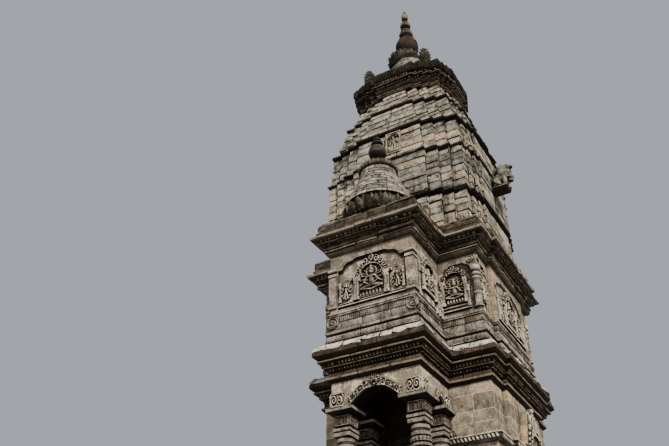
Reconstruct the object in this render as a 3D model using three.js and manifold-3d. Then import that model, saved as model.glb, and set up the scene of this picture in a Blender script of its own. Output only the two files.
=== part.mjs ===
// A stone hindu temple: a curved tower over a small shrine, with a columned porch in front,
// on a stepped plinth with one flight of steps.
// Millimetres, +Z up. The origin is on the ground, under the tower's axis. The porch faces -Y.
import * as THREE from 'three';
import { mergeVertices } from 'three/addons/utils/BufferGeometryUtils.js';
import Module from 'manifold-3d';

const wasm = await Module();
wasm.setup();

// Driving dimensions: heights above the ground

const FLOOR_Z = 3650; // top of the plinth
const LINTEL_Z = 6125; // top of the porch columns
const EAVES_Z = 6560; // top of the shrine's walls
const BAND_Z = 7230; // top of the lower cornice
const SILL_Z = 7876; // foot of the niche storey
const FRIEZE_Z = 9060; // top of the niche storey
const ROOF_Z = 9790; // top of the upper cornice
const LION_Z = 11450; // feet of the lions on the tower

// Driving dimensions: shrine and porch

const WALL_X = 1580; // half width of the shrine's walls
const WALL_Y = 1430; // half depth of the shrine's walls
const WALL_THICK = 450;
const BAY_SHARE = 0.62; // half width of a middle bay, as a share of its wall
const BAY_OUT = 80; // how far a middle bay stands out of its wall

const PORCH_X = 810; // half width of the porch
const PORCH_Y = 2585; // from the tower's axis to the porch's front
const PORCH_IN = 300; // how far the porch's levels run into the shrine's
const LINTEL_THICK = 290;
const ARCH_RISE = 250; // of the arch over the porch's front
const SIDE_ARCH_RISE = 160;

const DOOR_X = 400; // half width of the doorway
const DOOR_RISE = 1800;
const DOOR_JAMB = 92;
const DOOR_FRAME_DEEP = 70;

const COLUMN_X = 665;
const FRONT_COLUMN_Y = 2370;
const REAR_COLUMN_Y = 1600;

// Driving dimensions: plinth and steps

const TIER_COUNT = 3;
const TIER_SETBACK = 560;
const TIER_RISE = FLOOR_Z / TIER_COUNT;
const TOP_TIER = { x: 2100, front: 3150, back: 1980 };
const TIER_COPING = 40; // how far a tier's coping stands out

const STAIR_X = 700; // half width of the flight
const STAIR_RISERS = 18;
const STAIR_GOING = 185;
const CHEEK = { wide: 300, rise: 260, post: 420, postOut: 160 };

// Outlines of mouldings: [how far out, height above the level they start from]

const TIER_PROFILE = [
  [TIER_COPING, 0],
  [TIER_COPING, 110],
  [15, 150],
  [15, 230],
  [0, 250],
  [0, TIER_RISE - 200],
  [18, TIER_RISE - 180],
  [18, TIER_RISE - 130],
  [TIER_COPING, TIER_RISE - 110],
  [TIER_COPING, TIER_RISE],
];

const WALL_FOOT = [[110, 0], [110, 140], [75, 190], [75, 250], [95, 265], [95, 305], [30, 360], [0, 400]];
const HOOD_RISE = 1880; // foot of the band near the top of the walls
const HOOD_BAND = [[0, 0], [45, 0], [85, 40], [85, 100], [0, 150]];

const LOWER_CORNICE = [
  [30, 0],
  [75, 45],
  [75, 90],
  [35, 95],
  [35, 170],
  [95, 180],
  [95, 240],
  [140, 270],
  [140, 330],
  [190, 350],
  [190, 410],
  [248, 440],
  [248, 520],
  [70, BAND_Z - EAVES_Z],
];

const BASE_BAND = [
  [40, 0],
  [40, 50],
  [70, 80],
  [70, 160],
  [85, 200],
  [85, 255],
  [25, 262],
  [25, 560],
  [42, 590],
  [42, SILL_Z - BAND_Z],
];

const STOREY_OUT = 20; // how far the niche storey stands out of the walls below
const NICHE_STOREY = [[STOREY_OUT, 0], [STOREY_OUT, FRIEZE_Z - SILL_Z]];

const UPPER_CORNICE = [
  [40, 0],
  [85, 60],
  [85, 110],
  [120, 130],
  [120, 180],
  [175, 210],
  [175, 250],
  [230, 270],
  [285, 310],
  [285, 400],
  [200, 440],
  [200, 500],
  [180, 510],
  [180, 640],
  [90, ROOF_Z - FRIEZE_Z],
];

const TOP_CORNICE = [
  [0, 0],
  [20, 40],
  [20, 110],
  [60, 140],
  [60, 320],
  [105, 360],
  [105, 440],
  [147, 480],
  [147, 680],
];

// A porch column: its square foot, its round ringed shaft and its square head

const COLUMN_BLOCK = 135; // half width of the square blocks
const COLUMN_FOOT = [[30, 0], [30, 120], [0, 160], [0, 560], [18, 580], [18, 640]];
const SHAFT = { radius: 150, groove: 22, rings: 6, sides: 12 };
const COLUMN_HEAD = [
  [12, 0],
  [12, 60],
  [-12, 90],
  [6, 130],
  [6, 180],
  [-16, 200],
  [-5, 230],
  [-5, 510],
  [60, 540],
];
const COLUMN_HEAD_RISE = 600;
const ABACUS = { out: 115, thick: 60 };

// Recessed panels of the niche storey, each with a low cusped arch at its head

const PANEL = { deep: 60, foot: 40, spring: 330, head: 190, step: 40 };
const PANEL_EDGE = { porch: 130, bay: 110, wing: 60 }; // from a panel's side to its face's side

// A blind shrine in the middle of each wall without a doorway

const SHRINE = { halfWide: 420, foot: 420, jambTop: 5720, archTop: 6430, deep: 110, jamb: 110 };

// The turret over the porch: [radius, height above the roof]

const TURRET_Y = 2110;
const TURRET_LOTUS = [[640, 0], [700, 90], [735, 240], [700, 400], [600, 500]];
const TURRET_BELL = [
  [610, 500],
  [600, 560],
  [570, 640],
  [520, 800],
  [445, 1000],
  [375, 1200],
  [345, 1400],
];
const TURRET_DISC = [[350, 1400], [385, 1440], [385, 1560], [250, 1640], [190, 1720], [150, 1770]];
const TURRET_BALL = [
  [120, 1770],
  [160, 1830],
  [175, 1930],
  [150, 2050],
  [90, 2110],
  [115, 2130],
  [115, 2180],
  [80, 2200],
  [95, 2230],
  [90, 2280],
  [50, 2310],
  [50, 2360],
  [20, 2420],
];

// The tower's bands, from the upper cornice to the top cornice. Each has its half widths at the
// foot and at the top, and ends in a ledge.

const TOWER_PLAN = { x: 1300, y: 1092 }; // half widths that the bands' overhangs are counted from
const BANDS = [
  { foot: 1530, top: 1532, rise: 850, ledge: 1606 },
  { foot: 1558, top: 1558, rise: 1030, ledge: 1600 },
  { foot: 1532, top: 1465, rise: 760, ledge: 1540 },
  { foot: 1428, top: 1235, rise: 820, ledge: 1284 },
  { foot: 1185, top: 1005, rise: 610, ledge: 1005 },
];
const LEDGE = { under: 45, thick: 65, slope: 45 };
const STEP_OUT = { x: 50, y: 75 }; // each step by which the middle of a face stands out
const STEP_SHARES = [0.8, 0.62, 0.42]; // half widths of the steps, as shares of their face

// The finial: [radius, height above the part that carries it]

const ROOF_SLAB = { inset: 15, rise: 150 };
const DRUM = [[600, 0], [600, 170], [560, 220], [560, 520], [530, 580], [530, 870], [400, 1120]];
const LEAF_AT = { x: 760, y: 790 }; // of the leaf at each corner of the roof
const LEAF = [[150, 0], [150, 120], [105, 160], [140, 330], [110, 470], [25, 665]];
const LOTUS_SHIFT = { x: -90, y: -52 }; // the petals have slipped to one side
const LOTUS = [[330, 0], [430, 90], [445, 200], [405, 340], [320, 470]];
const VASE = [[150, 0], [250, 130], [285, 300], [292, 500], [250, 700], [170, 820]];
const SPIRE = [
  [185, 0],
  [185, 60],
  [150, 100],
  [175, 160],
  [170, 240],
  [125, 330],
  [122, 540],
  [90, 575],
  [98, 640],
  [58, 685],
  [76, 780],
  [78, 890],
  [50, 950],
  [12, 981],
];

const GAP = 0.3; // between pieces that meet on slanted or curved faces

const MATERIALS = {
  plinth: new THREE.MeshStandardMaterial({ color: 0x8f8272, roughness: 0.95, metalness: 0 }),
  stone: new THREE.MeshStandardMaterial({ color: 0xa89a86, roughness: 0.9, metalness: 0 }),
  cornice: new THREE.MeshStandardMaterial({ color: 0x5a4a3c, roughness: 0.95, metalness: 0 }),
  carving: new THREE.MeshStandardMaterial({ color: 0x8c7f6d, roughness: 0.9, metalness: 0 }),
  tower: new THREE.MeshStandardMaterial({ color: 0xb0a694, roughness: 0.92, metalness: 0 }),
  moss: new THREE.MeshStandardMaterial({ color: 0x3f4030, roughness: 1, metalness: 0 }),
  vase: new THREE.MeshStandardMaterial({ color: 0x5c2a1e, roughness: 0.7, metalness: 0.1 }),
};

const temple = new THREE.Group();

// Solids

function solidFrom(geometry) {
  const bare = geometry.index ? geometry.toNonIndexed() : geometry.clone();
  bare.deleteAttribute('normal');
  bare.deleteAttribute('uv');
  const merged = mergeVertices(bare, 1e-3);
  const mesh = new wasm.Mesh({
    numProp: 3,
    vertProperties: new Float32Array(merged.attributes.position.array),
    triVerts: new Uint32Array(merged.index.array),
  });
  return new wasm.Manifold(mesh);
}

function union(solids) {
  return solids.reduce((all, solid) => all.add(solid));
}

function addPiece(name, material, solid) {
  const found = solid.getMesh();
  const geometry = new THREE.BufferGeometry();
  geometry.setAttribute('position', new THREE.BufferAttribute(new Float32Array(found.vertProperties), 3));
  geometry.setIndex(new THREE.BufferAttribute(new Uint32Array(found.triVerts), 1));
  geometry.computeVertexNormals();
  const mesh = new THREE.Mesh(geometry, material);
  mesh.name = name;
  temple.add(mesh);
  return solid;
}

function box(x0, x1, y0, y1, z0, z1) {
  const geometry = new THREE.BoxGeometry(x1 - x0, y1 - y0, z1 - z0);
  geometry.translate((x0 + x1) / 2, (y0 + y1) / 2, (z0 + z1) / 2);
  return solidFrom(geometry);
}

function raised(profile, z) {
  return profile.map(([out, rise]) => [out, z + rise]);
}

function topOf(profile) {
  return profile[profile.length - 1][1];
}

// A round piece on a vertical axis. The profile is a list of [radius, height] from foot to top.
function turned(x, y, profile, segments) {
  const points = [[0, profile[0][1]], ...profile, [0, topOf(profile)]];
  const geometry = new THREE.LatheGeometry(points.map(([r, z]) => new THREE.Vector2(r, z)), segments);
  geometry.rotateX(Math.PI / 2);
  geometry.translate(x, y, 0);
  return solidFrom(geometry);
}

// Mouldings carried round a rectangle: a four-sided turned piece whose quarters are pushed apart.
// The profile is a list of [overhang, height]; `grow` widens it all round.
function moulded(plan, profile, grow = 0) {
  const reach = 5000; // keeps every radius of the four-sided piece above nothing
  const rim = profile.map(([out, z]) => [(out + grow + reach) * Math.SQRT2, z]);
  const points = [[0, profile[0][1]], ...rim, [0, topOf(profile)]];
  const geometry = new THREE.LatheGeometry(points.map(([r, z]) => new THREE.Vector2(r, z)), 4, Math.PI / 4);
  geometry.rotateX(Math.PI / 2);
  const position = geometry.attributes.position;
  const halfX = (plan.x1 - plan.x0) / 2;
  const halfY = (plan.y1 - plan.y0) / 2;
  for (let i = 0; i < position.count; i += 1) {
    const x = position.getX(i);
    const y = position.getY(i);
    const onAxis = Math.hypot(x, y) < 1;
    const nextX = onAxis ? 0 : x + Math.sign(x) * (halfX - reach);
    const nextY = onAxis ? 0 : y + Math.sign(y) * (halfY - reach);
    position.setXY(i, nextX + (plan.x0 + plan.x1) / 2, nextY + (plan.y0 + plan.y1) / 2);
  }
  return solidFrom(geometry);
}

function centred(halfX, halfY) {
  return { x0: -halfX, x1: halfX, y0: -halfY, y1: halfY };
}

// A shape in the XZ plane given a thickness along Y, from y0 to y1.
function upright(shape, y0, y1, curveSegments) {
  const geometry = new THREE.ExtrudeGeometry(shape, { depth: y1 - y0, bevelEnabled: false, curveSegments });
  geometry.rotateX(Math.PI / 2);
  geometry.translate(0, y1, 0);
  return solidFrom(geometry);
}

// An outline in the YZ plane given a thickness along X, from x0 to x1.
function sideways(outline, x0, x1) {
  const shape = new THREE.Shape(outline.map(([y, z]) => new THREE.Vector2(y, z)));
  const geometry = new THREE.ExtrudeGeometry(shape, { depth: x1 - x0, bevelEnabled: false });
  const turn = new THREE.Matrix4().makeBasis(
    new THREE.Vector3(0, 1, 0),
    new THREE.Vector3(0, 0, 1),
    new THREE.Vector3(1, 0, 0),
  );
  geometry.applyMatrix4(turn);
  geometry.translate(x0, 0, 0);
  return solidFrom(geometry);
}

function turnedAbout(solid, degrees, x, y) {
  return solid.rotate([0, 0, degrees]).translate([x, y, 0]);
}

// Plinth: square tiers, each with a foot and a coping, and one flight of steps between two cheeks

function tierPlan(index) {
  const out = (TIER_COUNT - 1 - index) * TIER_SETBACK;
  return { x0: -TOP_TIER.x - out, x1: TOP_TIER.x + out, y0: -TOP_TIER.front - out, y1: TOP_TIER.back + out };
}

function addTiers() {
  const tiers = [];
  for (let i = 0; i < TIER_COUNT; i += 1) {
    const solid = moulded(tierPlan(i), raised(TIER_PROFILE, i * TIER_RISE));
    tiers.push(addPiece(`plinth_tier_${i + 1}`, MATERIALS.plinth, solid));
  }
  return union(tiers);
}

const STAIR_RISE = FLOOR_Z / STAIR_RISERS;
const STAIR_TOP_Y = -TOP_TIER.front - TIER_COPING;
const STAIR_FOOT_Y = STAIR_TOP_Y - (STAIR_RISERS - 1) * STAIR_GOING;

function addStair(plinth) {
  const outline = [[STAIR_TOP_Y, 0], [STAIR_FOOT_Y, 0]];
  for (let i = 1; i < STAIR_RISERS; i += 1) {
    const y = STAIR_FOOT_Y + (i - 1) * STAIR_GOING;
    outline.push([y, i * STAIR_RISE], [y + STAIR_GOING, i * STAIR_RISE]);
  }
  const flight = sideways(outline, -STAIR_X, STAIR_X);
  addPiece('front_stair', MATERIALS.plinth, flight.subtract(plinth));
}

function addCheeks(plinth) {
  const footY = STAIR_FOOT_Y - CHEEK.postOut;
  const postTop = STAIR_RISE + CHEEK.rise;
  const outline = [
    [STAIR_TOP_Y, 0],
    [footY, 0],
    [footY, postTop],
    [footY + CHEEK.post, postTop],
    [STAIR_TOP_Y, FLOOR_Z + CHEEK.rise],
  ];
  for (const [side, x0] of [['left', -STAIR_X - CHEEK.wide], ['right', STAIR_X]]) {
    const cheek = sideways(outline, x0, x0 + CHEEK.wide).subtract(plinth);
    addPiece(`stair_cheek_${side}`, MATERIALS.plinth, cheek);
  }
}

const plinthSolid = addTiers();
addStair(plinthSolid);
addCheeks(plinthSolid);

// Shrine walls: a hollow room with one doorway, mouldings at its foot and a band near its top

function wallProfile() {
  const foot = raised(WALL_FOOT, FLOOR_Z);
  const hood = raised(HOOD_BAND, FLOOR_Z + HOOD_RISE);
  return [...foot, ...hood, [0, EAVES_Z]];
}

// The plans of the body: the walls and their middle bays on the sides and the back.
function bodyPlans(x, y, out) {
  return [
    centred(x, y),
    centred(x + out, y * BAY_SHARE),
    { x0: -x * BAY_SHARE, x1: x * BAY_SHARE, y0: 0, y1: y + out },
  ];
}

// A blind shrine on a wall: two jambs and a pointed arch with a raised panel, facing -Y at y = 0.
function blindShrine() {
  const { halfWide, jambTop, archTop, deep, jamb } = SHRINE;
  const foot = FLOOR_Z + SHRINE.foot;
  const seat = 20; // how far it is let into its wall
  const springX = halfWide + 60;
  const arch = new THREE.Shape();
  arch.moveTo(-springX, jambTop);
  arch.quadraticCurveTo(-halfWide, archTop - 120, 0, archTop);
  arch.quadraticCurveTo(halfWide, archTop - 120, springX, jambTop);
  arch.closePath();
  const tympanum = upright(arch, -deep, seat, 6);
  const frame = box(-halfWide, halfWide, -deep * 0.8, seat, foot, jambTop);
  const recess = box(-halfWide + jamb, halfWide - jamb, -deep - 1, -deep * 0.2, foot + 90, jambTop - 60);
  return frame.subtract(recess).add(tympanum);
}

function addWalls() {
  const shell = union(bodyPlans(WALL_X, WALL_Y, BAY_OUT).map((plan) => moulded(plan, wallProfile())));
  const shrine = blindShrine();
  const dressed = union([
    shell,
    turnedAbout(shrine, 90, WALL_X + BAY_OUT, 0),
    turnedAbout(shrine, -90, -WALL_X - BAY_OUT, 0),
    turnedAbout(shrine, 180, 0, WALL_Y + BAY_OUT),
  ]);
  const roomX = WALL_X - WALL_THICK;
  const roomY = WALL_Y - WALL_THICK;
  const far = 3000; // past every wall
  const z0 = FLOOR_Z - 10;
  const z1 = EAVES_Z + 10;
  const flatX = DOOR_X + DOOR_JAMB;
  const flat = box(-flatX, flatX, -far, -WALL_Y, z0, z1);
  const hollow = dressed.subtract(box(-roomX, roomX, -roomY, roomY, z0, z1)).subtract(flat);
  const regions = {
    back_wall: box(-far, far, roomY, far, z0, z1),
    left_wall: box(-far, -roomX, -roomY, roomY, z0, z1),
    right_wall: box(roomX, far, -roomY, roomY, z0, z1),
    front_wall_left: box(-far, -DOOR_X, -far, -roomY, z0, z1),
    front_wall_right: box(DOOR_X, far, -far, -roomY, z0, z1),
    front_wall_over_door: box(-DOOR_X, DOOR_X, -far, -roomY, FLOOR_Z + DOOR_RISE, z1),
  };
  for (const [name, region] of Object.entries(regions)) {
    addPiece(name, MATERIALS.stone, hollow.intersect(region));
  }
}

addWalls();

// Door surround: jambs and a lintel with a low arch, against the front wall inside the porch

function addDoorSurround() {
  const top = FLOOR_Z + DOOR_RISE;
  const outer = DOOR_X + DOOR_JAMB;
  const crown = top + 4.4 * DOOR_JAMB;
  const shoulder = top + 3.6 * DOOR_JAMB;
  const arch = new THREE.Shape();
  arch.moveTo(-outer, FLOOR_Z);
  arch.lineTo(-DOOR_X, FLOOR_Z);
  arch.lineTo(-DOOR_X, top);
  arch.lineTo(DOOR_X, top);
  arch.lineTo(DOOR_X, FLOOR_Z);
  arch.lineTo(outer, FLOOR_Z);
  arch.lineTo(outer, top + DOOR_JAMB);
  arch.quadraticCurveTo(DOOR_X * 0.8, shoulder, 0, crown);
  arch.quadraticCurveTo(-DOOR_X * 0.8, shoulder, -outer, top + DOOR_JAMB);
  arch.closePath();
  addPiece('door_surround', MATERIALS.carving, upright(arch, -WALL_Y - DOOR_FRAME_DEEP, -WALL_Y, 6));
}

addDoorSurround();

// Porch columns: square foot, ringed shaft, square head and a wide thin plate on top

function columnSolid(x, y) {
  const b = COLUMN_BLOCK;
  const plan = { x0: x - b, x1: x + b, y0: y - b, y1: y + b };
  const ringFoot = FLOOR_Z + topOf(COLUMN_FOOT);
  const ringTop = LINTEL_Z - COLUMN_HEAD_RISE;
  const pitch = (ringTop - ringFoot) / SHAFT.rings;
  const neck = SHAFT.radius - SHAFT.groove;
  const profile = [];
  for (let i = 0; i < SHAFT.rings; i += 1) {
    const base = ringFoot + i * pitch;
    profile.push([neck, base], [SHAFT.radius, base + pitch * 0.25], [SHAFT.radius, base + pitch * 0.75]);
  }
  profile.push([neck, ringTop]);
  const side = b + ABACUS.out;
  return union([
    moulded(plan, raised(COLUMN_FOOT, FLOOR_Z)),
    turned(x, y, profile, SHAFT.sides),
    moulded(plan, raised(COLUMN_HEAD, ringTop)),
    box(x - side, x + side, y - side, y + side, LINTEL_Z - ABACUS.thick, LINTEL_Z),
  ]);
}

function addColumns() {
  const wall = moulded(centred(WALL_X, WALL_Y), wallProfile(), GAP);
  for (const [side, x] of [['left', -COLUMN_X], ['right', COLUMN_X]]) {
    addPiece(`front_column_${side}`, MATERIALS.carving, columnSolid(x, -FRONT_COLUMN_Y));
    addPiece(`rear_column_${side}`, MATERIALS.carving, columnSolid(x, -REAR_COLUMN_Y).subtract(wall));
  }
}

addColumns();

// Porch lintels: an arched beam over the front and one over each side

function archedBeam(halfSpan, halfOpen, rise, y0, y1) {
  const shape = new THREE.Shape();
  shape.moveTo(-halfSpan, LINTEL_Z);
  shape.lineTo(-halfOpen, LINTEL_Z);
  shape.quadraticCurveTo(-halfOpen * 0.55, LINTEL_Z + rise * 0.9, 0, LINTEL_Z + rise);
  shape.quadraticCurveTo(halfOpen * 0.55, LINTEL_Z + rise * 0.9, halfOpen, LINTEL_Z);
  shape.lineTo(halfSpan, LINTEL_Z);
  shape.lineTo(halfSpan, EAVES_Z);
  shape.lineTo(-halfSpan, EAVES_Z);
  shape.closePath();
  return upright(shape, y0, y1, 8);
}

function addPorchBeams() {
  const frontOpen = COLUMN_X - COLUMN_BLOCK - 90;
  const frontY = -PORCH_Y + LINTEL_THICK;
  addPiece('porch_front_arch', MATERIALS.stone, archedBeam(PORCH_X, frontOpen, ARCH_RISE, -PORCH_Y, frontY));
  const middle = (-WALL_Y + frontY) / 2;
  const halfSpan = (-WALL_Y - frontY) / 2;
  const side = archedBeam(halfSpan, halfSpan - 250, SIDE_ARCH_RISE, -LINTEL_THICK, 0);
  const inner = PORCH_X - LINTEL_THICK;
  addPiece('porch_side_arch_left', MATERIALS.stone, turnedAbout(side, -90, -inner, middle));
  addPiece('porch_side_arch_right', MATERIALS.stone, turnedAbout(side, 90, inner, middle));
}

addPorchBeams();

// Cornices and storeys above. Each is one piece round the body and one round the porch.

function addLevel(name, material, profile, z, panels) {
  const plans = bodyPlans(WALL_X, WALL_Y, BAY_OUT);
  const porchPlan = { x0: -PORCH_X, x1: PORCH_X, y0: -PORCH_Y, y1: -WALL_Y + PORCH_IN };
  const section = raised(profile, z);
  const body = union(plans.map((plan) => moulded(plan, section)));
  const zone = union(plans.map((plan) => moulded(plan, section, GAP)));
  const porch = moulded(porchPlan, section).subtract(zone);
  addPiece(`${name}_body`, material, panels ? body.subtract(panels.body) : body);
  addPiece(`${name}_porch`, material, panels ? porch.subtract(panels.porch) : porch);
}

// The space of one recessed panel, facing -Y, with its back PANEL.deep behind y = 0.
function panelCut(halfWide) {
  const foot = SILL_Z + PANEL.foot;
  const spring = FRIEZE_Z - PANEL.spring;
  const head = spring + PANEL.head;
  const shape = new THREE.Shape();
  shape.moveTo(-halfWide, foot);
  shape.lineTo(halfWide, foot);
  shape.lineTo(halfWide, spring);
  shape.lineTo(halfWide * 0.86, spring);
  shape.quadraticCurveTo(halfWide * 0.8, head - PANEL.step, halfWide * 0.55, head - PANEL.step);
  shape.lineTo(halfWide * 0.42, head);
  shape.lineTo(-halfWide * 0.42, head);
  shape.lineTo(-halfWide * 0.55, head - PANEL.step);
  shape.quadraticCurveTo(-halfWide * 0.8, head - PANEL.step, -halfWide * 0.86, spring);
  shape.lineTo(-halfWide, spring);
  shape.closePath();
  return upright(shape, -100, PANEL.deep, 3);
}

function nichePanels() {
  const faceX = WALL_X + STOREY_OUT;
  const faceY = WALL_Y + STOREY_OUT;
  const wing = panelCut((WALL_X - PORCH_X) / 2 - PANEL_EDGE.wing);
  const wingX = (WALL_X + PORCH_X) / 2;
  const sideBay = panelCut(WALL_Y * BAY_SHARE - PANEL_EDGE.bay);
  const backBay = panelCut(WALL_X * BAY_SHARE - PANEL_EDGE.bay);
  const sideWing = panelCut((WALL_Y * (1 - BAY_SHARE)) / 2 - PANEL_EDGE.wing);
  const backWing = panelCut((WALL_X * (1 - BAY_SHARE)) / 2 - PANEL_EDGE.wing);
  const sideWingY = (WALL_Y * (1 + BAY_SHARE)) / 2;
  const backWingX = (WALL_X * (1 + BAY_SHARE)) / 2;
  const body = [turnedAbout(backBay, 180, 0, faceY + BAY_OUT)];
  for (const side of [-1, 1]) {
    body.push(turnedAbout(wing, 0, side * wingX, -faceY));
    body.push(turnedAbout(sideBay, side * 90, side * (faceX + BAY_OUT), 0));
    body.push(turnedAbout(backWing, 180, side * backWingX, faceY));
    for (const end of [-1, 1]) {
      body.push(turnedAbout(sideWing, side * 90, side * faceX, end * sideWingY));
    }
  }
  const porch = panelCut(PORCH_X - PANEL_EDGE.porch).translate([0, -PORCH_Y - STOREY_OUT, 0]);
  return { body: union(body), porch };
}

addLevel('lower_cornice', MATERIALS.cornice, LOWER_CORNICE, EAVES_Z);
addLevel('base_band', MATERIALS.carving, BASE_BAND, BAND_Z);
addLevel('niche_storey', MATERIALS.stone, NICHE_STOREY, SILL_Z, nichePanels());
addLevel('upper_cornice', MATERIALS.cornice, UPPER_CORNICE, FRIEZE_Z);

// Tower: five bands with a stepped middle bay on every face, each ending in a thin ledge

function steppedPlans(x, y) {
  const plans = [centred(x, y)];
  STEP_SHARES.forEach((share, i) => {
    plans.push(centred(x * share, y + STEP_OUT.y * (i + 1)), centred(x + STEP_OUT.x * (i + 1), y * share));
  });
  return plans;
}

function stepped(x, y, section, grow = 0) {
  return union(steppedPlans(x, y).map((plan) => moulded(plan, section, grow)));
}

// Returns the outline of each band's mouldings.
function addTower() {
  const sections = [];
  let z = ROOF_Z;
  BANDS.forEach((band, i) => {
    const top = z + band.rise;
    const under = (band.top + band.ledge) / 2;
    const profile = [[band.foot, z], [band.top, top - LEDGE.under]];
    if (i === BANDS.length - 1) {
      profile.push([band.top, top]);
    } else {
      profile.push(
        [under, top - LEDGE.under + 5],
        [under, top],
        [band.ledge, top + 5],
        [band.ledge, top + LEDGE.thick],
        [BANDS[i + 1].foot, top + LEDGE.thick + LEDGE.slope],
      );
    }
    const section = profile.map(([half, height]) => [half - TOWER_PLAN.x, height]);
    addPiece(`tower_band_${i + 1}`, MATERIALS.tower, stepped(TOWER_PLAN.x, TOWER_PLAN.y, section));
    sections.push(section);
    z = topOf(profile);
  });
  return sections;
}

const towerSections = addTower();
const CROWN_Z = topOf(towerSections[towerSections.length - 1]);

// Turret over the porch: a ring of petals and a bell that lean on the tower, a wide disc and a ball

function addTurret() {
  const tower = stepped(TOWER_PLAN.x, TOWER_PLAN.y, towerSections[0], GAP);
  const parts = [
    ['turret_lotus', MATERIALS.moss, TURRET_LOTUS, 28],
    ['turret_bell', MATERIALS.stone, TURRET_BELL, 28],
    ['turret_disc', MATERIALS.cornice, TURRET_DISC, 24],
    ['turret_ball', MATERIALS.stone, TURRET_BALL, 16],
  ];
  for (const [name, material, profile, segments] of parts) {
    const solid = turned(0, -TURRET_Y, raised(profile, ROOF_Z), segments);
    addPiece(name, material, solid.subtract(tower));
  }
}

addTurret();

// Top cornice, the round base of the finial with corner leaves, the petals, the vase and the spire

function addCrown() {
  const half = BANDS[BANDS.length - 1].top;
  const depth = half - TOWER_PLAN.x + TOWER_PLAN.y;
  const section = raised(TOP_CORNICE, CROWN_Z);
  addPiece('top_cornice', MATERIALS.cornice, stepped(half, depth, section));

  const top = topOf(section);
  const slabPlan = centred(half - ROOF_SLAB.inset, depth + ROOF_SLAB.inset);
  const solids = [
    moulded(slabPlan, [[0, top], [0, top + ROOF_SLAB.rise]]),
    turned(0, 0, raised(DRUM, top), 28),
  ];
  for (const [sx, sy] of [[-1, -1], [1, -1], [1, 1], [-1, 1]]) {
    solids.push(turned(sx * LEAF_AT.x, sy * LEAF_AT.y, raised(LEAF, top), 8));
  }
  addPiece('finial_base', MATERIALS.stone, union(solids));

  const lotusZ = top + topOf(DRUM);
  const vaseZ = lotusZ + topOf(LOTUS);
  const spireZ = vaseZ + topOf(VASE);
  const lotus = turned(LOTUS_SHIFT.x, LOTUS_SHIFT.y, raised(LOTUS, lotusZ), 24);
  addPiece('finial_lotus', MATERIALS.moss, lotus);
  addPiece('finial_vase', MATERIALS.vase, turned(0, 0, raised(VASE, vaseZ), 24));
  addPiece('finial_spire', MATERIALS.stone, turned(0, 0, raised(SPIRE, spireZ), 16));
}

addCrown();

// Lions standing out of the middle of the tower's sides and back, each on a bracket

function ellipsoid(radii, centre) {
  const geometry = new THREE.SphereGeometry(1, 10, 6);
  geometry.scale(...radii);
  geometry.translate(...centre);
  return solidFrom(geometry);
}

// One lion facing +X on its bracket, with the wall at x = 0 and its feet at z = 0.
function lionSolid() {
  const clear = 45; // keeps the figure in front of the ledge above the bracket
  const legX = { front: 320, back: 110, long: 85 };
  const figure = [
    ellipsoid([180, 105, 130], [215, 0, 250]),
    ellipsoid([110, 115, 170], [335, 0, 280]),
    ellipsoid([115, 105, 110], [395, 0, 490]),
    ellipsoid([75, 60, 55], [480, 0, 470]),
  ];
  for (const side of [-1, 1]) {
    figure.push(box(legX.front, legX.front + legX.long, side * 75 - 32, side * 75 + 32, -10, 260));
    figure.push(box(legX.back, legX.back + legX.long, side * 75 - 32, side * 75 + 32, -10, 230));
  }
  const behind = box(-500, clear, -500, 500, -500, 900);
  const bracketPlan = { x0: 0, x1: 370, y0: -110, y1: 110 };
  const bracket = moulded(bracketPlan, [[0, -120], [10, -60], [40, -50], [40, 0]]);
  const wall = box(-500, 0, -500, 500, -500, 900);
  return union(figure).subtract(behind).add(bracket.subtract(wall));
}

function addLions() {
  const lion = lionSolid().translate([0, 0, LION_Z]);
  const steps = STEP_SHARES.length;
  const faceOut = BANDS[1].top + steps * STEP_OUT.x + GAP; // the tower's face behind the lions
  const depthOut = BANDS[1].top - TOWER_PLAN.x + TOWER_PLAN.y + steps * STEP_OUT.y + GAP;
  addPiece('lion_right', MATERIALS.carving, turnedAbout(lion, 0, faceOut, 0));
  addPiece('lion_left', MATERIALS.carving, turnedAbout(lion, 180, -faceOut, 0));
  addPiece('lion_back', MATERIALS.carving, turnedAbout(lion, 90, 0, depthOut));
}

addLions();

export default temple;
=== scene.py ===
"""A stone hindu temple: the masonry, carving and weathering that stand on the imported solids.

Metres, +Z up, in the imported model's own frame. The porch faces -Y. Every new piece is a surface worked
out with numpy: a stone course is a profile carried along a plan, a relief is a height over a grid, and a
turned piece is a profile carried round an axis.
"""

import functools
import math

import bmesh
import bpy
import numpy as np
from bpy.props import FloatProperty, FloatVectorProperty, PointerProperty
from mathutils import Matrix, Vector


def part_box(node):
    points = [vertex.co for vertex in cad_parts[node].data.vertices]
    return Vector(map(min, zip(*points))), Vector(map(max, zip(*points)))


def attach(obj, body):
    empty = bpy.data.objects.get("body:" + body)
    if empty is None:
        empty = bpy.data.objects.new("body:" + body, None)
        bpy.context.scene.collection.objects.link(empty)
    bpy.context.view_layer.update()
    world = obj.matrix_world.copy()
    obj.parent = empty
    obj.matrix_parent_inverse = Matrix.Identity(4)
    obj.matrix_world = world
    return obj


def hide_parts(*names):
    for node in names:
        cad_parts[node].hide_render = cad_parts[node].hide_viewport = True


bl_info = {
    "name": "Stone hindu temple",
    "version": (1, 0, 0),
    "blender": (4, 5, 0),
    "location": "3D View > Sidebar > Temple",
    "description": "Lays the stones of a hindu temple and carves its mouldings, niches, petals and lions",
    "category": "Object",
}

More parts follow.
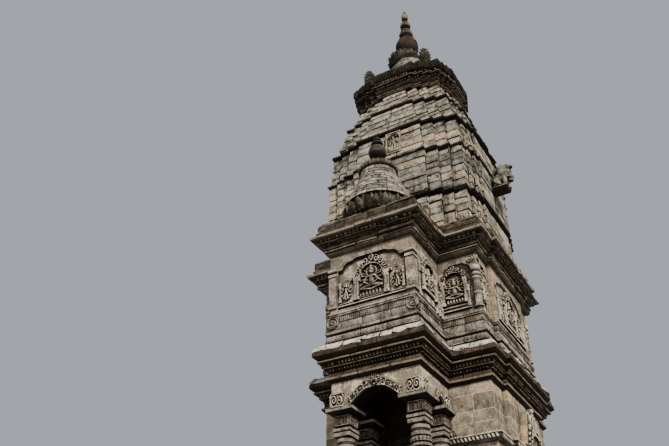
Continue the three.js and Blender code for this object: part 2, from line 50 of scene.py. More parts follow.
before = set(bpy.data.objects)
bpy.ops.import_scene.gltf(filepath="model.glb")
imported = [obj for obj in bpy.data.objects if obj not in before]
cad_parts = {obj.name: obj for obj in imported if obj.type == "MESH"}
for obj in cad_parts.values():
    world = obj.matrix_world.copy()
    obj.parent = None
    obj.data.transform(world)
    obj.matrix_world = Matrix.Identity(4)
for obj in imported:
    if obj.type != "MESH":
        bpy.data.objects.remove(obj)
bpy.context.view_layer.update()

# Levels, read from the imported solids

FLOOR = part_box("plinth_tier_3")[1].z
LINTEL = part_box("front_column_left")[1].z
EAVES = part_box("lower_cornice_body")[0].z
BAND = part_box("lower_cornice_body")[1].z
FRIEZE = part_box("niche_storey_body")[1].z
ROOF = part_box("upper_cornice_body")[1].z
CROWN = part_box("top_cornice")[0].z
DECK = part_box("top_cornice")[1].z

# Plans, as half widths and half depths

WALL_X, WALL_Y = 1.58, 1.43
BAY_SHARE, BAY_OUT = 0.62, 0.08
PORCH_X, PORCH_Y = 0.81, 2.585
STOREY_OUT = 0.02
TOWER_X, TOWER_Y = 1.3, 1.092
STEP_X, STEP_Y = 0.05, 0.075
STEP_SHARES = (0.8, 0.62, 0.42)
DOOR_EDGE = 0.497
DOOR_RISE = 1.8
HOOD = FLOOR + 1.88

UP = np.array([0.0, 0.0, 1.0])
TURNS = {
    "front": (np.array([1.0, 0, 0]), np.array([0, -1.0, 0])),
    "right": (np.array([0, 1.0, 0]), np.array([1.0, 0, 0])),
    "back": (np.array([-1.0, 0, 0]), np.array([0, 1.0, 0])),
    "left": (np.array([0, -1.0, 0]), np.array([-1.0, 0, 0])),
}


# ---------------------------------------------------------------------------------------------
# Settings


def length(name, description, default):
    """A length setting."""
    return FloatProperty(name=name, description=description, default=default, min=0.0, unit="LENGTH")


def colour(name, description, default):
    """A colour setting."""
    return FloatVectorProperty(
        name=name, description=description, default=default, size=4, min=0.0, max=1.0, subtype="COLOR"
    )


class TempleStones(bpy.types.PropertyGroup):
    """Sizes of the stones and of the carving."""

    wall_course: length("Wall course", "Height of a course of the shrine's walls", 0.23)
    wall_stone: length("Wall stone", "Mean length of a stone in the shrine's walls", 0.42)
    tower_course: length("Tower course", "Height of a course of the tower", 0.175)
    tower_stone: length("Tower stone", "Mean length of a stone in the tower", 0.46)
    tower_joint: length("Tower joint", "Width of the open joints in the tower", 0.011)
    plinth_stone: length("Plinth stone", "Mean length of a stone in the plinth", 0.64)
    relief: length("Relief", "How far the niche figures stand out of their panels", 0.068)
    lion_skin: length("Lion skin", "Mesh size of the lions' skin", 0.016)


class TempleWeather(bpy.types.PropertyGroup):
    """Colours of what the weather leaves on the stone, and of the shade painted on it."""

    # The stain colour is also laid on as painted shade in hollows, nooks and on undersides, besides real soot
    # and water stain.
    stain_and_shade: colour("Stain and shade", "Soot and water stain in joints and under ledges", (0.01, 0.0078, 0.0056, 1.0))
    growth: colour("Growth", "Lichen and moss", (0.04, 0.042, 0.026, 1.0))
    # Amount also sets how strong the painted shade on undersides is.
    amount: FloatProperty(
        name="Amount", description="Share of stain and growth that is laid on", default=1.0, min=0.0, max=1.0,
        subtype="FACTOR",
    )


class TempleStage(bpy.types.PropertyGroup):
    """Light and floor of the stage."""

    sun: FloatProperty(name="Sun", description="Strength of the sun", default=7.2, min=0.0)
    sky: FloatProperty(name="Sky", description="Strength of the pale studio light", default=0.5, min=0.0)
    floor: colour("Floor", "Colour of the floor", (0.62, 0.61, 0.6, 1.0))


# ---------------------------------------------------------------------------------------------
# Plans


def mirrored(right_half):
    """A closed plan from its right half, listed anticlockwise from the front."""
    right = np.array(right_half, float)
    return np.vstack([right, right[::-1] * (-1, 1)])


BAY_X, BAY_Y = WALL_X * BAY_SHARE, WALL_Y * BAY_SHARE
BODY_RIGHT = [
    (WALL_X, -WALL_Y),
    (WALL_X, -BAY_Y),
    (WALL_X + BAY_OUT, -BAY_Y),
    (WALL_X + BAY_OUT, BAY_Y),
    (WALL_X, BAY_Y),
    (WALL_X, WALL_Y),
    (BAY_X, WALL_Y),
    (BAY_X, WALL_Y + BAY_OUT),
]
TEMPLE_PLAN = mirrored([(PORCH_X, -PORCH_Y), (PORCH_X, -WALL_Y), *BODY_RIGHT])
BODY_PLAN = mirrored(BODY_RIGHT)
DOOR_PATH = mirrored([(DOOR_EDGE, -WALL_Y), *BODY_RIGHT])
OUTER_PATH = mirrored([(PORCH_X, -WALL_Y), *BODY_RIGHT])


def stepped_plan(x, y):
    """A rectangle whose four faces stand out towards their middle in three steps."""
    a, b, c = STEP_SHARES
    front = [
        (c * x, -y - 3 * STEP_Y),
        (c * x, -y - 2 * STEP_Y),
        (b * x, -y - 2 * STEP_Y),
        (b * x, -y - STEP_Y),
        (a * x, -y - STEP_Y),
        (a * x, -y),
        (x, -y),
    ]
    side = [
        (x, -a * y),
        (x + STEP_X, -a * y),
        (x + STEP_X, -b * y),
        (x + 2 * STEP_X, -b * y),
        (x + 2 * STEP_X, -c * y),
        (x + 3 * STEP_X, -c * y),
    ]
    behind = [(px, -py) for px, py in reversed([*front, *side])]
    return mirrored([*front, *side, *behind])


def sides_of(plan, closed=True):
    """Each straight side: start, direction, outward normal, length, and its mitre at either end:
    1 at a corner that stands out, -1 at a corner that turns in and 0 at an open end."""
    plan = np.asarray(plan, float)
    start = plan if closed else plan[:-1]
    end = np.roll(plan, -1, axis=0) if closed else plan[1:]
    length = np.linalg.norm(end - start, axis=1)
    along = (end - start) / length[:, None]
    outward = np.stack([along[:, 1], -along[:, 0]], axis=1)
    before = np.roll(along, 1, axis=0)
    mitre = np.sign(np.round(before[:, 0] * along[:, 1] - before[:, 1] * along[:, 0], 6))
    after = np.roll(mitre, -1)
    if not closed:
        mitre[0] = 0
        after[-1] = 0
    return list(zip(start, along, outward, length, mitre, after))


# ---------------------------------------------------------------------------------------------
# Collecting surfaces into one mesh

CREASE = math.radians(40)  # edges sharper than this stay sharp
WAVE_SEED = np.random.default_rng(7)
WAVE_AXES = WAVE_SEED.normal(size=(7, 3))
WAVE_AXES /= np.linalg.norm(WAVE_AXES, axis=1)[:, None]
WAVE_PHASES = WAVE_SEED.uniform(0, 2 * math.pi, 7)
WAVE_RATES = np.array([1.0, 1.27, 1.61, 1.93, 2.31, 2.9, 3.7])


def swell(points, size):
    """Smooth unevenness between about -1 and 1: the mean of seven sine waves in fixed directions."""
    turns = points @ WAVE_AXES.T * WAVE_RATES * (2 * math.pi / size) + WAVE_PHASES
    return np.sin(turns).mean(axis=-1) * 1.9


def smooth(value, low, high):
    """0 below low, 1 above high and an S curve between."""
    t = np.clip((value - low) / (high - low), 0, 1)
    return t * t * (3 - 2 * t)
def between(value, low, high):
    """Where a value lies between two others."""
    return (value > low) & (value < high)


def highest(*heights):
    """The greatest of several heights at every place."""
    return functools.reduce(np.maximum, heights)
class Carving:
    """Points and faces of one piece, with three values at each point: tone of its stone, how pale
    it is worn and how dark it is made in a joint or hollow, by dirt and by painted shade."""

    def __init__(self):
        self.points, self.values, self.faces, self.count = [], [], [], 0

    def add(self, points, faces, tone=0.5, pale=0.0, dirt_and_shade=0.0):
        points = np.asarray(points, float)
        shape = points.shape[:-1]
        values = [np.broadcast_to(v, shape).reshape(-1) for v in (tone, pale, dirt_and_shade)]
        self.points.append(points.reshape(-1, 3))
        self.values.append(np.stack(values, axis=1))
        for group in faces:
            self.faces.append(np.asarray(group) + self.count)
        self.count += self.points[-1].shape[0]


def grid_faces(rows, columns, wrap=False):
    """Quads of a grid of points; with wrap the last column joins the first."""
    index = np.arange(rows * columns).reshape(rows, columns)
    right = np.roll(index, -1, axis=1)
    quads = np.stack([index[:-1], right[:-1], right[1:], index[1:]], axis=-1)
    return (quads if wrap else quads[:, :-1]).reshape(-1, 4)
def tube_faces(rows, columns):
    """Faces of a grid whose last column joins the first, closed across its first and last row."""
    ring = np.arange(columns)
    return [grid_faces(rows, columns, wrap=True), ring[::-1][None], ((rows - 1) * columns + ring)[None]]


def copies(faces, count, size):
    """The faces of a shape with `size` points, once for each of its copies."""
    steps = (np.arange(count) * size)[:, None, None]
    return [(group[None] + steps).reshape(-1, group.shape[1]) for group in faces]


def make_piece(name, carving, finish, replaces=()):
    """A mesh object from what a carving holds, finished with a stone and riding on the temple."""
    points = np.vstack(carving.points)
    values = np.vstack(carving.values)
    corners = np.concatenate([f.reshape(-1) for f in carving.faces])
    sizes = np.concatenate([np.full(len(f), f.shape[1]) for f in carving.faces])
    name = name.replace(" ", "_")
    mesh = bpy.data.meshes.new(name)
    mesh.vertices.add(len(points))
    mesh.vertices.foreach_set("co", points.astype(np.float32).ravel())
    mesh.loops.add(len(corners))
    mesh.loops.foreach_set("vertex_index", corners.astype(np.int32))
    mesh.polygons.add(len(sizes))
    mesh.polygons.foreach_set("loop_start", (np.cumsum(sizes) - sizes).astype(np.int32))
    mesh.update(calc_edges=True)
    for column, attribute in enumerate(("tone", "pale", "dirt_and_shade")):
        layer = mesh.attributes.new(attribute, "FLOAT", "POINT")
        layer.data.foreach_set("value", values[:, column].astype(np.float32))
    shell = bmesh.new()
    shell.from_mesh(mesh)
    bmesh.ops.recalc_face_normals(shell, faces=shell.faces)
    shell.to_mesh(mesh)
    shell.free()
    mesh.validate()
    mesh.shade_smooth()
    mesh.set_sharp_from_angle(angle=CREASE)
    piece = bpy.data.objects.new(name, mesh)
    bpy.context.scene.collection.objects.link(piece)
    mesh.materials.append(stone_finish(finish))
    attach(piece, "root")
    if replaces:
        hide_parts(*replaces)
    return piece


# ---------------------------------------------------------------------------------------------
# Masonry: profiles carried along a plan

BEHIND = 0.012  # profile points that stand out less than this keep still when a stone wears


def profile_of(rows):
    """Rows of [out, height, pale, dirt and painted shade] with the last two filled in where a row leaves them
    out.
    """
    return np.array([list(row) + [0.0] * (4 - len(row)) for row in rows], float)


def course(carving, plan, rows, stone, rng, closed=True, joint=0.006, bevel=0.011, worn=0.004, uneven=0.003,
           chips=0.0, deepest=0.01, mortar=False):
    """Stones of one course. The point of a stone at share t of its length, on profile point k, is
    start + direction (place + mitre) + outward (out_k - rounding at the joints + wear) + up height_k.
    The profile's first and last points lie behind the face."""
    profile = profile_of(rows)
    out, height, pale, dirt_and_shade = profile.T
    front = (out > min(out[0], out[-1]) + BEHIND).astype(float)
    inner = np.array([0.22, 0.5, 0.78])
    tone_before = rng.random()
    for start, along, outward, length, turn_in, turn_out in sides_of(plan, closed):
        count = max(1, round(length / stone))
        cuts = np.linspace(0, 1, count + 1)
        cuts[1:-1] += rng.uniform(-0.2, 0.2, count - 1) / count
        first = (np.arange(count) == 0) & (turn_in != 0)
        last = (np.arange(count) == count - 1) & (turn_out != 0)
        low = cuts[:-1] * length + np.where(first, 0, joint / 2)
        high = cuts[1:] * length - np.where(last, 0, joint / 2)
        edge = np.clip(bevel / np.maximum(high - low, 1e-6), 0, 0.2)[:, None]
        sunk = 0.002 if mortar else bevel * 0.8
        middle = inner if length > 0.16 else np.array([0.5])
        ends = np.zeros((count, 1))
        share = np.hstack([ends, edge, np.tile(middle, (count, 1)), 1 - edge, ends + 1])
        rounding = np.zeros_like(share)
        rounding[:, 0] = np.where(first, 0, sunk)
        rounding[:, -1] = np.where(last, 0, sunk)
        tones = rng.random(count)
        tones[0] = tone_before
        tone_before = tones[-1]
        shift = rng.normal(0, uneven, count)[:, None, None]
        over = out + (shift - rounding[:, :, None]) * front
        place = (low[:, None] + share * (high - low)[:, None])[:, :, None]
        place = place - turn_in * over * (first[:, None] * (1 - share))[:, :, None]
        place = place + turn_out * over * (last[:, None] * share)[:, :, None]
        flat = start + along * place[..., None] + outward * over[..., None]
        points = np.concatenate([flat, np.broadcast_to(height, over.shape)[..., None]], axis=-1)
        wear = worn * swell(points, 0.23)
        if chips:
            wear = wear - chips * np.clip(swell(points + 5.0, 0.31) - 0.35, 0, 1) * 2
        wear = np.maximum(wear, -deepest - np.minimum(shift - rounding[:, :, None], 0))
        points[..., :2] += outward * (wear * front)[..., None]
        points[..., 2] += 0.4 * wear * front
        at_joint = np.zeros_like(share)
        at_joint[:, 0] = ~first
        at_joint[:, -1] = ~last
        at_joint = at_joint[:, :, None] * 0.9
        # Joints get dirt; the profile's own values add painted shade under and behind its mouldings.
        edges = np.maximum(dirt_and_shade, at_joint) * np.ones_like(over)
        lying = edges * 0 if mortar else edges
        shown = np.maximum(pale, edges) if mortar else pale * np.ones_like(over)
        sections, k = share.shape[1], len(out)
        quads = grid_faces(sections, k, wrap=True)
        steps = (np.arange(count) * sections * k)[:, None, None]
        caps = np.vstack([np.arange(k), (sections - 1) * k + np.arange(k)[::-1]])
        carving.add(
            points,
            [(quads + steps).reshape(-1, 4), (caps + steps).reshape(-1, k)],
            tones[:, None, None],
            shown,
            lying,
        )


def ashlar_rows(low, high, proud, batter=0.0, bevel=0.011, mortar=False):
    """The profile of a plain stone: flat, with its edges rounded back into the joints."""
    b = bevel
    if mortar:
        return [
            (-0.03, low, 0, 1),
            (proud - 0.002, low + 0.0005, 0, 1),
            (proud, low + b, 0, 0),
            (proud + 0.001 - batter / 2, (low + high) / 2, 0, 0),
            (proud - batter, high - b, 0, 0),
            (proud - batter - 0.002, high - 0.0005, 0, 1),
            (-0.03 - batter, high, 0, 1),
        ]
    return [
        (-0.03, low, 0, 1),
        (proud - b * 0.9, low + 0.002, 0, 0.95),
        (proud, low + b, 0, 0.15),
        (proud + 0.002 - batter / 2, (low + high) / 2, 0.15, 0),
        (proud - batter, high - b, 0, 0.15),
        (proud - batter - b * 0.9, high - 0.002, 0, 0.95),
        (-0.03 - batter, high, 0, 1),
    ]


def courses(carving, plan, low, high, height, stone, rng, foot_out=0.0, top_out=0.0, proud=0.012, closed=True,
            **more):
    """Courses of plain stones from low to high; the wall leans from foot_out to top_out."""
    count = max(1, round((high - low) / height))
    levels = np.linspace(low, high, count + 1)
    levels[1:-1] += rng.uniform(-0.16, 0.16, count - 1) * height
    for z0, z1 in zip(levels[:-1], levels[1:]):
        lean0 = foot_out + (top_out - foot_out) * (z0 - low) / (high - low)
        lean1 = foot_out + (top_out - foot_out) * (z1 - low) / (high - low)
        bevel, mortar = more.get("bevel", 0.011), more.get("mortar", False)
        rows = ashlar_rows(z0, z1, proud, lean0 - lean1, bevel, mortar)
        rows = [(out + lean0, *rest) for out, *rest in rows]
        course(carving, plan, rows, stone * rng.uniform(0.8, 1.25), rng, closed, **more)


def lay_bands(carving, plan, bands, level, rng, **more):
    """The bands of a cornice or base: each a profile over its level and the mean length of its stones."""
    for rows, stone in bands:
        course(carving, plan, lifted(rows, level), stone, rng, **more)


def lifted(rows, z):
    """Profile rows [out, height, ...] with their heights raised by z."""
    return [(row[0], row[1] + z, *row[2:]) for row in rows]


def stack(carving, plan, rows, tone=0.5):
    """A closed plan carried up a profile: each corner moves out along both its sides."""
    plan = np.asarray(plan, float)
    outward = np.array([side[2] for side in sides_of(plan)])
    spread = outward + np.roll(outward, 1, axis=0)
    profile = profile_of(rows)
    flat = plan[None] + spread[None] * profile[:, 0, None, None]
    tall = np.broadcast_to(profile[:, 1, None, None], (*flat.shape[:2], 1))
    points = np.concatenate([flat, tall], axis=-1)
    carving.add(points, tube_faces(len(profile), len(plan)), tone, profile[:, 2, None], profile[:, 3, None])


def square(x, y, half_x, half_y=None):
    """A closed rectangle round a point, a square where half_y is left out."""
    return np.array([(-1, -1), (1, -1), (1, 1), (-1, 1)]) * (half_x, half_y or half_x) + (x, y)


# Small repeated shapes, as points [along, outward, up] with their faces and how far out each stands


def bead(radius, out=None, rise=None, around=7, rings=3):
    """Half of a flattened ball standing out of the wall, closed behind."""
    out = radius if out is None else out
    rise = radius if rise is None else rise
    lean = np.linspace(0, math.pi / 2, rings + 1)[:-1, None]
    turn = np.linspace(0, 2 * math.pi, around, endpoint=False)[None]
    shape = np.stack(
        [radius * np.cos(lean) * np.cos(turn), out * np.sin(lean) + 0 * turn,
         rise * np.cos(lean) * np.sin(turn)], -1
    )
    points = np.vstack([shape.reshape(-1, 3), [[0, out, 0]]])
    last = (rings - 1) * around + np.arange(around)
    fan = np.stack([last, np.roll(last, -1), np.full(around, len(points) - 1)], 1)
    return points, [*tube_faces(rings, around)[:2], fan]


def block(half, out, low, high, bevel=0.006, slant=0.0):
    """A small cut block with a bevelled face; slant leans its foot sideways."""
    face = np.array([(-1, 0), (1, 0), (1, 1), (-1, 1)], float)
    rise = low + (high - low) * face[:, 1]
    lean = slant * (1 - face[:, 1])
    back = np.stack([half * face[:, 0] + lean, np.full(4, -0.02), rise], 1)
    edge = np.stack([half * face[:, 0] + lean, np.full(4, out - bevel), rise], 1)
    inset = (half - bevel) * face[:, 0] + lean
    lift = np.where(face[:, 1] > 0, high - bevel, low + bevel)
    front = np.stack([inset, np.full(4, out), lift], 1)
    return np.vstack([back, edge, front]), tube_faces(3, 4)


def lozenge(half, out, rise):
    """A four-sided point on a diamond base."""
    base = np.array([(half, 0, 0), (0, 0, rise), (-half, 0, 0), (0, 0, -rise)], float)
    points = np.vstack([base + (0, -0.01, 0), base, [[0, out, 0]]])
    fan = np.array([(4, 5, 8), (5, 6, 8), (6, 7, 8), (7, 4, 8)])
    return points, [*tube_faces(2, 4)[:2], fan]


def two_sided(front, flatter, behind):
    """A curled sheet closed by its own back, which bulges less and lies a little behind."""
    back = front[:, ::-1] * (1, flatter, 1) + (0, -behind, 0)
    loop = np.concatenate([front, back], axis=1)
    return loop.reshape(-1, 3), tube_faces(*loop.shape[:2])


def leaf(half, rise, out, rows=4):
    """A pointed leaf, v running from 0 at its foot to 1 at its tip: half width half * sin(pi * (0.18 +
    0.8 v)) ** 0.8, curling outwards with v ** 1.5."""
    v = np.linspace(0, 1, rows)[:, None]
    width = half * np.maximum(np.sin(math.pi * (0.18 + 0.8 * v)) ** 0.8, 0.06)
    across = np.array([-1, -0.5, 0, 0.5, 1])[None]
    bulge = out * (0.35 + 0.65 * v**1.5) * (1 - 0.55 * across**2)
    return two_sided(np.stack([width * across, bulge + 0 * width, rise * v + 0 * across], -1), 0.35, 0.012)


def petal(half, rise, out, rows=7):
    """A broad petal with a round tip: half width half * sqrt(1 - w squared), w rising from 0 at two
    fifths of its height to 1 at the tip; it bulges outwards and its tip curls over."""
    v = np.linspace(0, 1, rows)[:, None]
    above = np.clip((v - 0.4) / 0.62, 0, 1)
    width = half * np.maximum(np.sqrt(1 - above**2), 0.16) * (0.86 + 0.14 * np.clip(v / 0.4, 0, 1))
    across = np.array([-1, -0.62, 0, 0.62, 1])[None]
    bulge = out * (0.3 + 0.7 * np.sin(v * math.pi * 0.62) + 0.25 * v**4) * (1 - 0.6 * across**2)
    return two_sided(np.stack([width * across, bulge + 0 * width, rise * v + 0 * across], -1), 0.2, 0.015)


def row(carving, plan, out, z, pitch, unit, rng, pale=0.4, worn=0.15, missing=0.0, least=0.8):
    """One small shape repeated along every side of a plan at an even pitch, its size a little uneven."""
    shape, faces = unit
    reach = max(shape[:, 1].max(), 1e-6)
    lift = np.clip(shape[:, 1] / reach, 0, 1)
    for start, along, outward, length, turn_in, turn_out in sides_of(plan):
        span = length + out * (turn_in + turn_out)
        count = int(span / pitch)
        if span < pitch * least or count < 1:
            continue
        place = (np.arange(count) + 0.5) * span / count - out * turn_in
        place = place[rng.random(count) >= missing] if missing else place
        count = len(place)
        size = 1 - worn * rng.random((count, 1))
        a = place[:, None] + shape[None, :, 0]
        b = out + shape[None, :, 1] * size
        flat = start + along * a[..., None] + outward * b[..., None]
        tall = z + shape[None, :, 2] * np.ones((count, 1))
        points = np.concatenate([flat, tall[..., None]], axis=-1)
        tones = rng.random((count, 1)) * np.ones((1, len(shape)))
        # The foot of each shape, where it meets the wall, gets painted shade; its tips are worn pale.
        ridges, hollows = pale * lift[None] * tones * 1.6, (0.8 - lift)[None] * np.ones((count, 1))
        carving.add(points, copies(faces, count, len(shape)), tones, ridges, hollows)


# Turned pieces


def turned(carving, rows, centre, segments, ripple=None, tone=0.5):
    """A profile of [radius, height, pale, dirt and painted shade] carried round a vertical axis, closed at
    both ends.
    ripple(angle, share up) gives how much the radius grows there."""
    profile = profile_of(rows)
    k, n = len(profile), segments
    angle = np.linspace(0, 2 * math.pi, n, endpoint=False)[None]
    share = np.linspace(0, 1, k)[:, None]
    grown = np.ones((k, n)) if ripple is None else 1 + ripple(angle, share)
    radius = profile[:, 0, None] * grown
    height = profile[:, 1, None] * np.ones((1, n))
    points = np.stack([centre[0] + radius * np.cos(angle), centre[1] + radius * np.sin(angle), height], -1)
    deep = grown - grown.mean(axis=1, keepdims=True)
    # The grooves of a ripple get painted shade, and its ribs are worn pale.
    hollow = np.clip(profile[:, 3, None] + np.clip(-deep * 14, 0, 0.9), 0, 1)
    worn = np.clip(profile[:, 2, None] + np.clip(deep * 8, 0, 0.5), 0, 1)
    carving.add(points, tube_faces(k, n), tone, worn, hollow)


def fluting(deep, count, low, high):
    """A ripple for turned(): so many grooves between two shares of the height."""
    return lambda angle, share: deep * np.cos(angle * count) * between(share, low, high)


def ring_courses(carving, rows, centre, stones, rng, proud=0.012):
    """Curved stones between each two rows [radius, height] of a bell."""
    for (r0, z0), (r1, z1) in zip(rows[:-1], rows[1:]):
        count = max(6, round(stones * (r0 + r1) / 2 / rows[0][0]))
        cuts = np.linspace(0, 2 * math.pi, count + 1) + rng.uniform(0, 1)
        profile = profile_of(ashlar_rows(z0, z1, proud, 0.0, 0.009))
        share = (profile[:, 1] - z0) / (z1 - z0)
        radius = r0 + (r1 - r0) * share + profile[:, 0]
        gap = 0.004 / r0
        for a0, a1 in zip(cuts[:-1], cuts[1:]):
            t = np.array([0, 0.04, 0.3, 0.5, 0.7, 0.96, 1])
            angle = (a0 + gap + t * (a1 - a0 - 2 * gap))[:, None]
            shrink = np.array([0.009, 0, 0, 0, 0, 0, 0.009])[:, None] * (profile[:, 0] > 0)
            r = radius[None] - shrink + rng.normal(0, 0.002)
            points = np.stack(
                [centre[0] + r * np.cos(angle), centre[1] + r * np.sin(angle), profile[:, 1] + 0 * r], -1
            )
            points += 0.003 * swell(points, 0.2)[..., None] * (profile[:, 0] > 0)[None, :, None]
            joint = np.zeros((7, 1))
            joint[[0, -1]] = 0.9
            k = len(profile)
            caps = np.vstack([np.arange(k), 6 * k + np.arange(k)[::-1]])
            carving.add(points, [grid_faces(7, k, wrap=True), caps], rng.random(), 0.1,
                        np.maximum(profile[:, 3], joint))


# ---------------------------------------------------------------------------------------------
# Reliefs: heights over a grid, on a face of the temple


def blurred(values, times):
    """Each value averaged with its four neighbours, several times over."""
    for _ in range(times):
        wide = np.pad(values, 1, mode="edge")
        values = (wide[1:-1, 1:-1] * 2 + wide[:-2, 1:-1] + wide[2:, 1:-1] + wide[1:-1, :-2]
                  + wide[1:-1, 2:]) / 6
    return values


def relief(carving, turn, distance, across, up, height, behind=0.03, tone=0.5, depth=0.03, gloom=0.0):
    """A closed slab whose face lies `height` out of the plane at `distance` on one side of the temple.
    across and up are grids in the plane. Hollows get painted shade and ridges are worn pale; gloom adds
    painted shade over a whole area."""
    along, outward = TURNS[turn]
    base = height.min() - behind
    local = blurred(height, 9)
    # Painted shade in the hollows of the relief, and over the whole of it where gloom is given.
    dirt_and_shade = np.clip((local - height) / depth * 2.2 + gloom, 0, 1)
    pale = np.clip((height - local) / depth * 1.6, 0, 1) * (1 - 0.6 * np.clip(gloom, 0, 1))
    a, z = np.pad(across, 1, mode="edge"), np.pad(up, 1, mode="edge")
    h = np.pad(height, 1, constant_values=base)
    points = outward * (distance + h)[..., None] + along * a[..., None] + UP * z[..., None]
    rows, columns = h.shape
    index = np.arange(rows * columns).reshape(rows, columns)
    rim = np.concatenate([index[0], index[1:, -1], index[-1, -2::-1], index[-2:0:-1, 0]])
    faces = [grid_faces(rows, columns), rim[::-1][None]]
    carving.add(points, faces, tone, np.pad(pale, 1), np.pad(dirt_and_shade, 1, constant_values=0.6))


GRAIN = {"front": 1.0, "right": 1.0, "left": 1.6, "back": 1.6}  # how coarse a relief's grid is on each side


def plane_grid(left, right, low, high, step):
    """Two grids, across and up, of points about `step` apart."""
    across = np.linspace(left, right, max(3, round((right - left) / step) + 1))
    up = np.linspace(low, high, max(3, round((high - low) / step) + 1))
    return np.meshgrid(across, up)


def knob(u, v, x, y, radius, rise=1.0, squash=1.0):
    """A dome: rise * sqrt(1 - (distance / radius) squared)."""
    gone = ((u - x) ** 2 + ((v - y) / squash) ** 2) / radius**2
    return rise * np.sqrt(np.clip(1 - gone, 0, 1))


def limb(u, v, x0, y0, x1, y1, radius, rise=1.0, end=None):
    """A rounded bar from one point to another, its radius running from radius to end."""
    dx, dy = x1 - x0, y1 - y0
    t = np.clip(((u - x0) * dx + (v - y0) * dy) / max(dx * dx + dy * dy, 1e-9), 0, 1)
    wide = radius + ((radius if end is None else end) - radius) * t
    gone = ((u - x0 - t * dx) ** 2 + (v - y0 - t * dy) ** 2) / wide**2
    return rise * np.sqrt(np.clip(1 - gone, 0, 1))


def hoop(u, v, x, y, radius, thick, rise=1.0):
    """A rounded ring."""
    gone = (np.hypot(u - x, v - y) - radius) ** 2 / thick**2
    return rise * np.sqrt(np.clip(1 - gone, 0, 1))


def scroll(u, v, x, y, radius, hand=1.0, turns=2.2, rise=1.0):
    """A spiral band: high where the radius, counted in windings, keeps step with the angle."""
    r = np.hypot(u - x, v - y)
    wind = r / radius * turns - hand * np.arctan2(v - y, u - x) / (2 * math.pi)
    band = smooth(np.cos(2 * math.pi * wind), -0.35, 0.35) * (r < radius)
    return rise * np.maximum(band * (0.65 + 0.35 * smooth(r, radius, radius * 0.3)),
                             knob(u, v, x, y, radius * 0.2))


def foliage(u, v, cell):
    """Curling leaves: a scroll in every cell of a grid, turning the other way in the next."""
    i, j = np.floor(u / cell), np.floor(v / cell)
    hand = np.where((i + j) % 2 == 0, 1.0, -1.0)
    x, y = u - (i + 0.5) * cell, v - (j + 0.5) * cell
    r = np.hypot(x, y) / cell
    wind = 4.2 * r - hand * np.arctan2(y, x) / (2 * math.pi)
    return smooth(np.cos(2 * math.pi * wind), -0.3, 0.5) * (0.45 + 0.55 * smooth(r, 0.72, 0.2))


# Limbs of the figures, one unit tall: x0, y0, x1, y1, radius, rise. A deity's sides are mirrored.

DEITY_MIDDLE = [
    (0, 0.93, 0, 1.02, 0.05, 0.9),
    (0, 0.9, 0, 0.9, 0.085, 0.95),
    (0, 0.82, 0, 0.8, 0.075, 1.1),
    (0, 0.72, 0, 0.76, 0.04, 0.8),
    (0, 0.47, 0, 0.64, 0.105, 0.95),
    (0, 0.4, 0, 0.42, 0.12, 0.85),
]
DEITY_SIDE = [
    (0.05, 0.66, 0.11, 0.66, 0.065, 1.0),
    (0.14, 0.64, 0.24, 0.5, 0.042, 0.95),
    (0.24, 0.5, 0.1, 0.4, 0.038, 1.0),
    (0.13, 0.68, 0.31, 0.72, 0.036, 0.75),
    (0.31, 0.72, 0.36, 0.88, 0.032, 0.75),
    (0.36, 0.9, 0.37, 0.94, 0.045, 0.8),
    (0.14, 0.62, 0.38, 0.58, 0.034, 0.7),
    (0.38, 0.58, 0.46, 0.72, 0.03, 0.7),
    (0.46, 0.74, 0.47, 0.78, 0.042, 0.75),
    (0.13, 0.56, 0.36, 0.42, 0.034, 0.75),
    (0.37, 0.42, 0.44, 0.46, 0.045, 0.8),
    (0.08, 0.36, 0.33, 0.29, 0.085, 0.95),
    (0.33, 0.28, 0.05, 0.22, 0.06, 1.05),
]
ATTENDANT = [
    (0.0, 0.93, 0.0, 0.99, 0.045, 0.9),
    (0.0, 0.85, 0.0, 0.87, 0.075, 1.0),
    (0.02, 0.6, 0.0, 0.72, 0.085, 0.95),
    (-0.07, 0.72, 0.08, 0.72, 0.05, 0.95),
    (0.02, 0.5, 0.04, 0.52, 0.1, 0.9),
    (-0.03, 0.45, -0.08, 0.16, 0.05, 0.85),
    (0.08, 0.45, 0.1, 0.16, 0.05, 0.85),
    (0.1, 0.7, 0.22, 0.62, 0.035, 0.85),
    (0.22, 0.62, 0.2, 0.8, 0.032, 0.9),
    (-0.1, 0.7, -0.18, 0.52, 0.035, 0.85),
    (-0.18, 0.52, -0.1, 0.42, 0.032, 0.85),
    (-0.22, 0.1, 0.24, 0.1, 0.05, 0.8),
    (-0.26, 0.03, 0.28, 0.03, 0.035, 0.8),
]


def seated_deity(u, v, x, y, size):
    """A many-armed figure with crossed legs on a lotus, before a ring of light: the highest of its limbs."""
    a, b = (u - x) / size, (v - y) / size
    rays = smooth(np.cos(np.arctan2(b - 0.66, a) * 22), -0.2, 0.6) * ((a**2 + (b - 0.66) ** 2) < 0.16)
    petals = np.sqrt(np.abs(np.sin(a * math.pi * 9))) * between(b, 0.06, 0.17) * (np.abs(a) < 0.44)
    return highest(
        0.34 * hoop(a, b, 0, 0.66, 0.43, 0.03) * (b > 0.4),
        0.6 * hoop(a, b, 0, 0.84, 0.17, 0.025),
        0.3 * rays * (b > 0.5),
        0.8 * petals,
        limb(a, b, -0.42, 0.185, 0.42, 0.185, 0.022, 0.85),
        limb(a, b, -0.44, 0.03, 0.44, 0.03, 0.032, 0.8),
        *(limb(a, b, *bar) for bar in DEITY_MIDDLE),
        *(limb(np.abs(a), b, *bar) for bar in DEITY_SIDE),
    )


def standing_attendant(u, v, x, y, size, hand):
    """A small standing figure with one arm raised and a swaying body, on a lotus."""
    a, b = (u - x) / size * hand, (v - y) / size
    return highest(0.45 * hoop(a, b, 0, 0.86, 0.15, 0.025), *(limb(a, b, *bar) for bar in ATTENDANT))


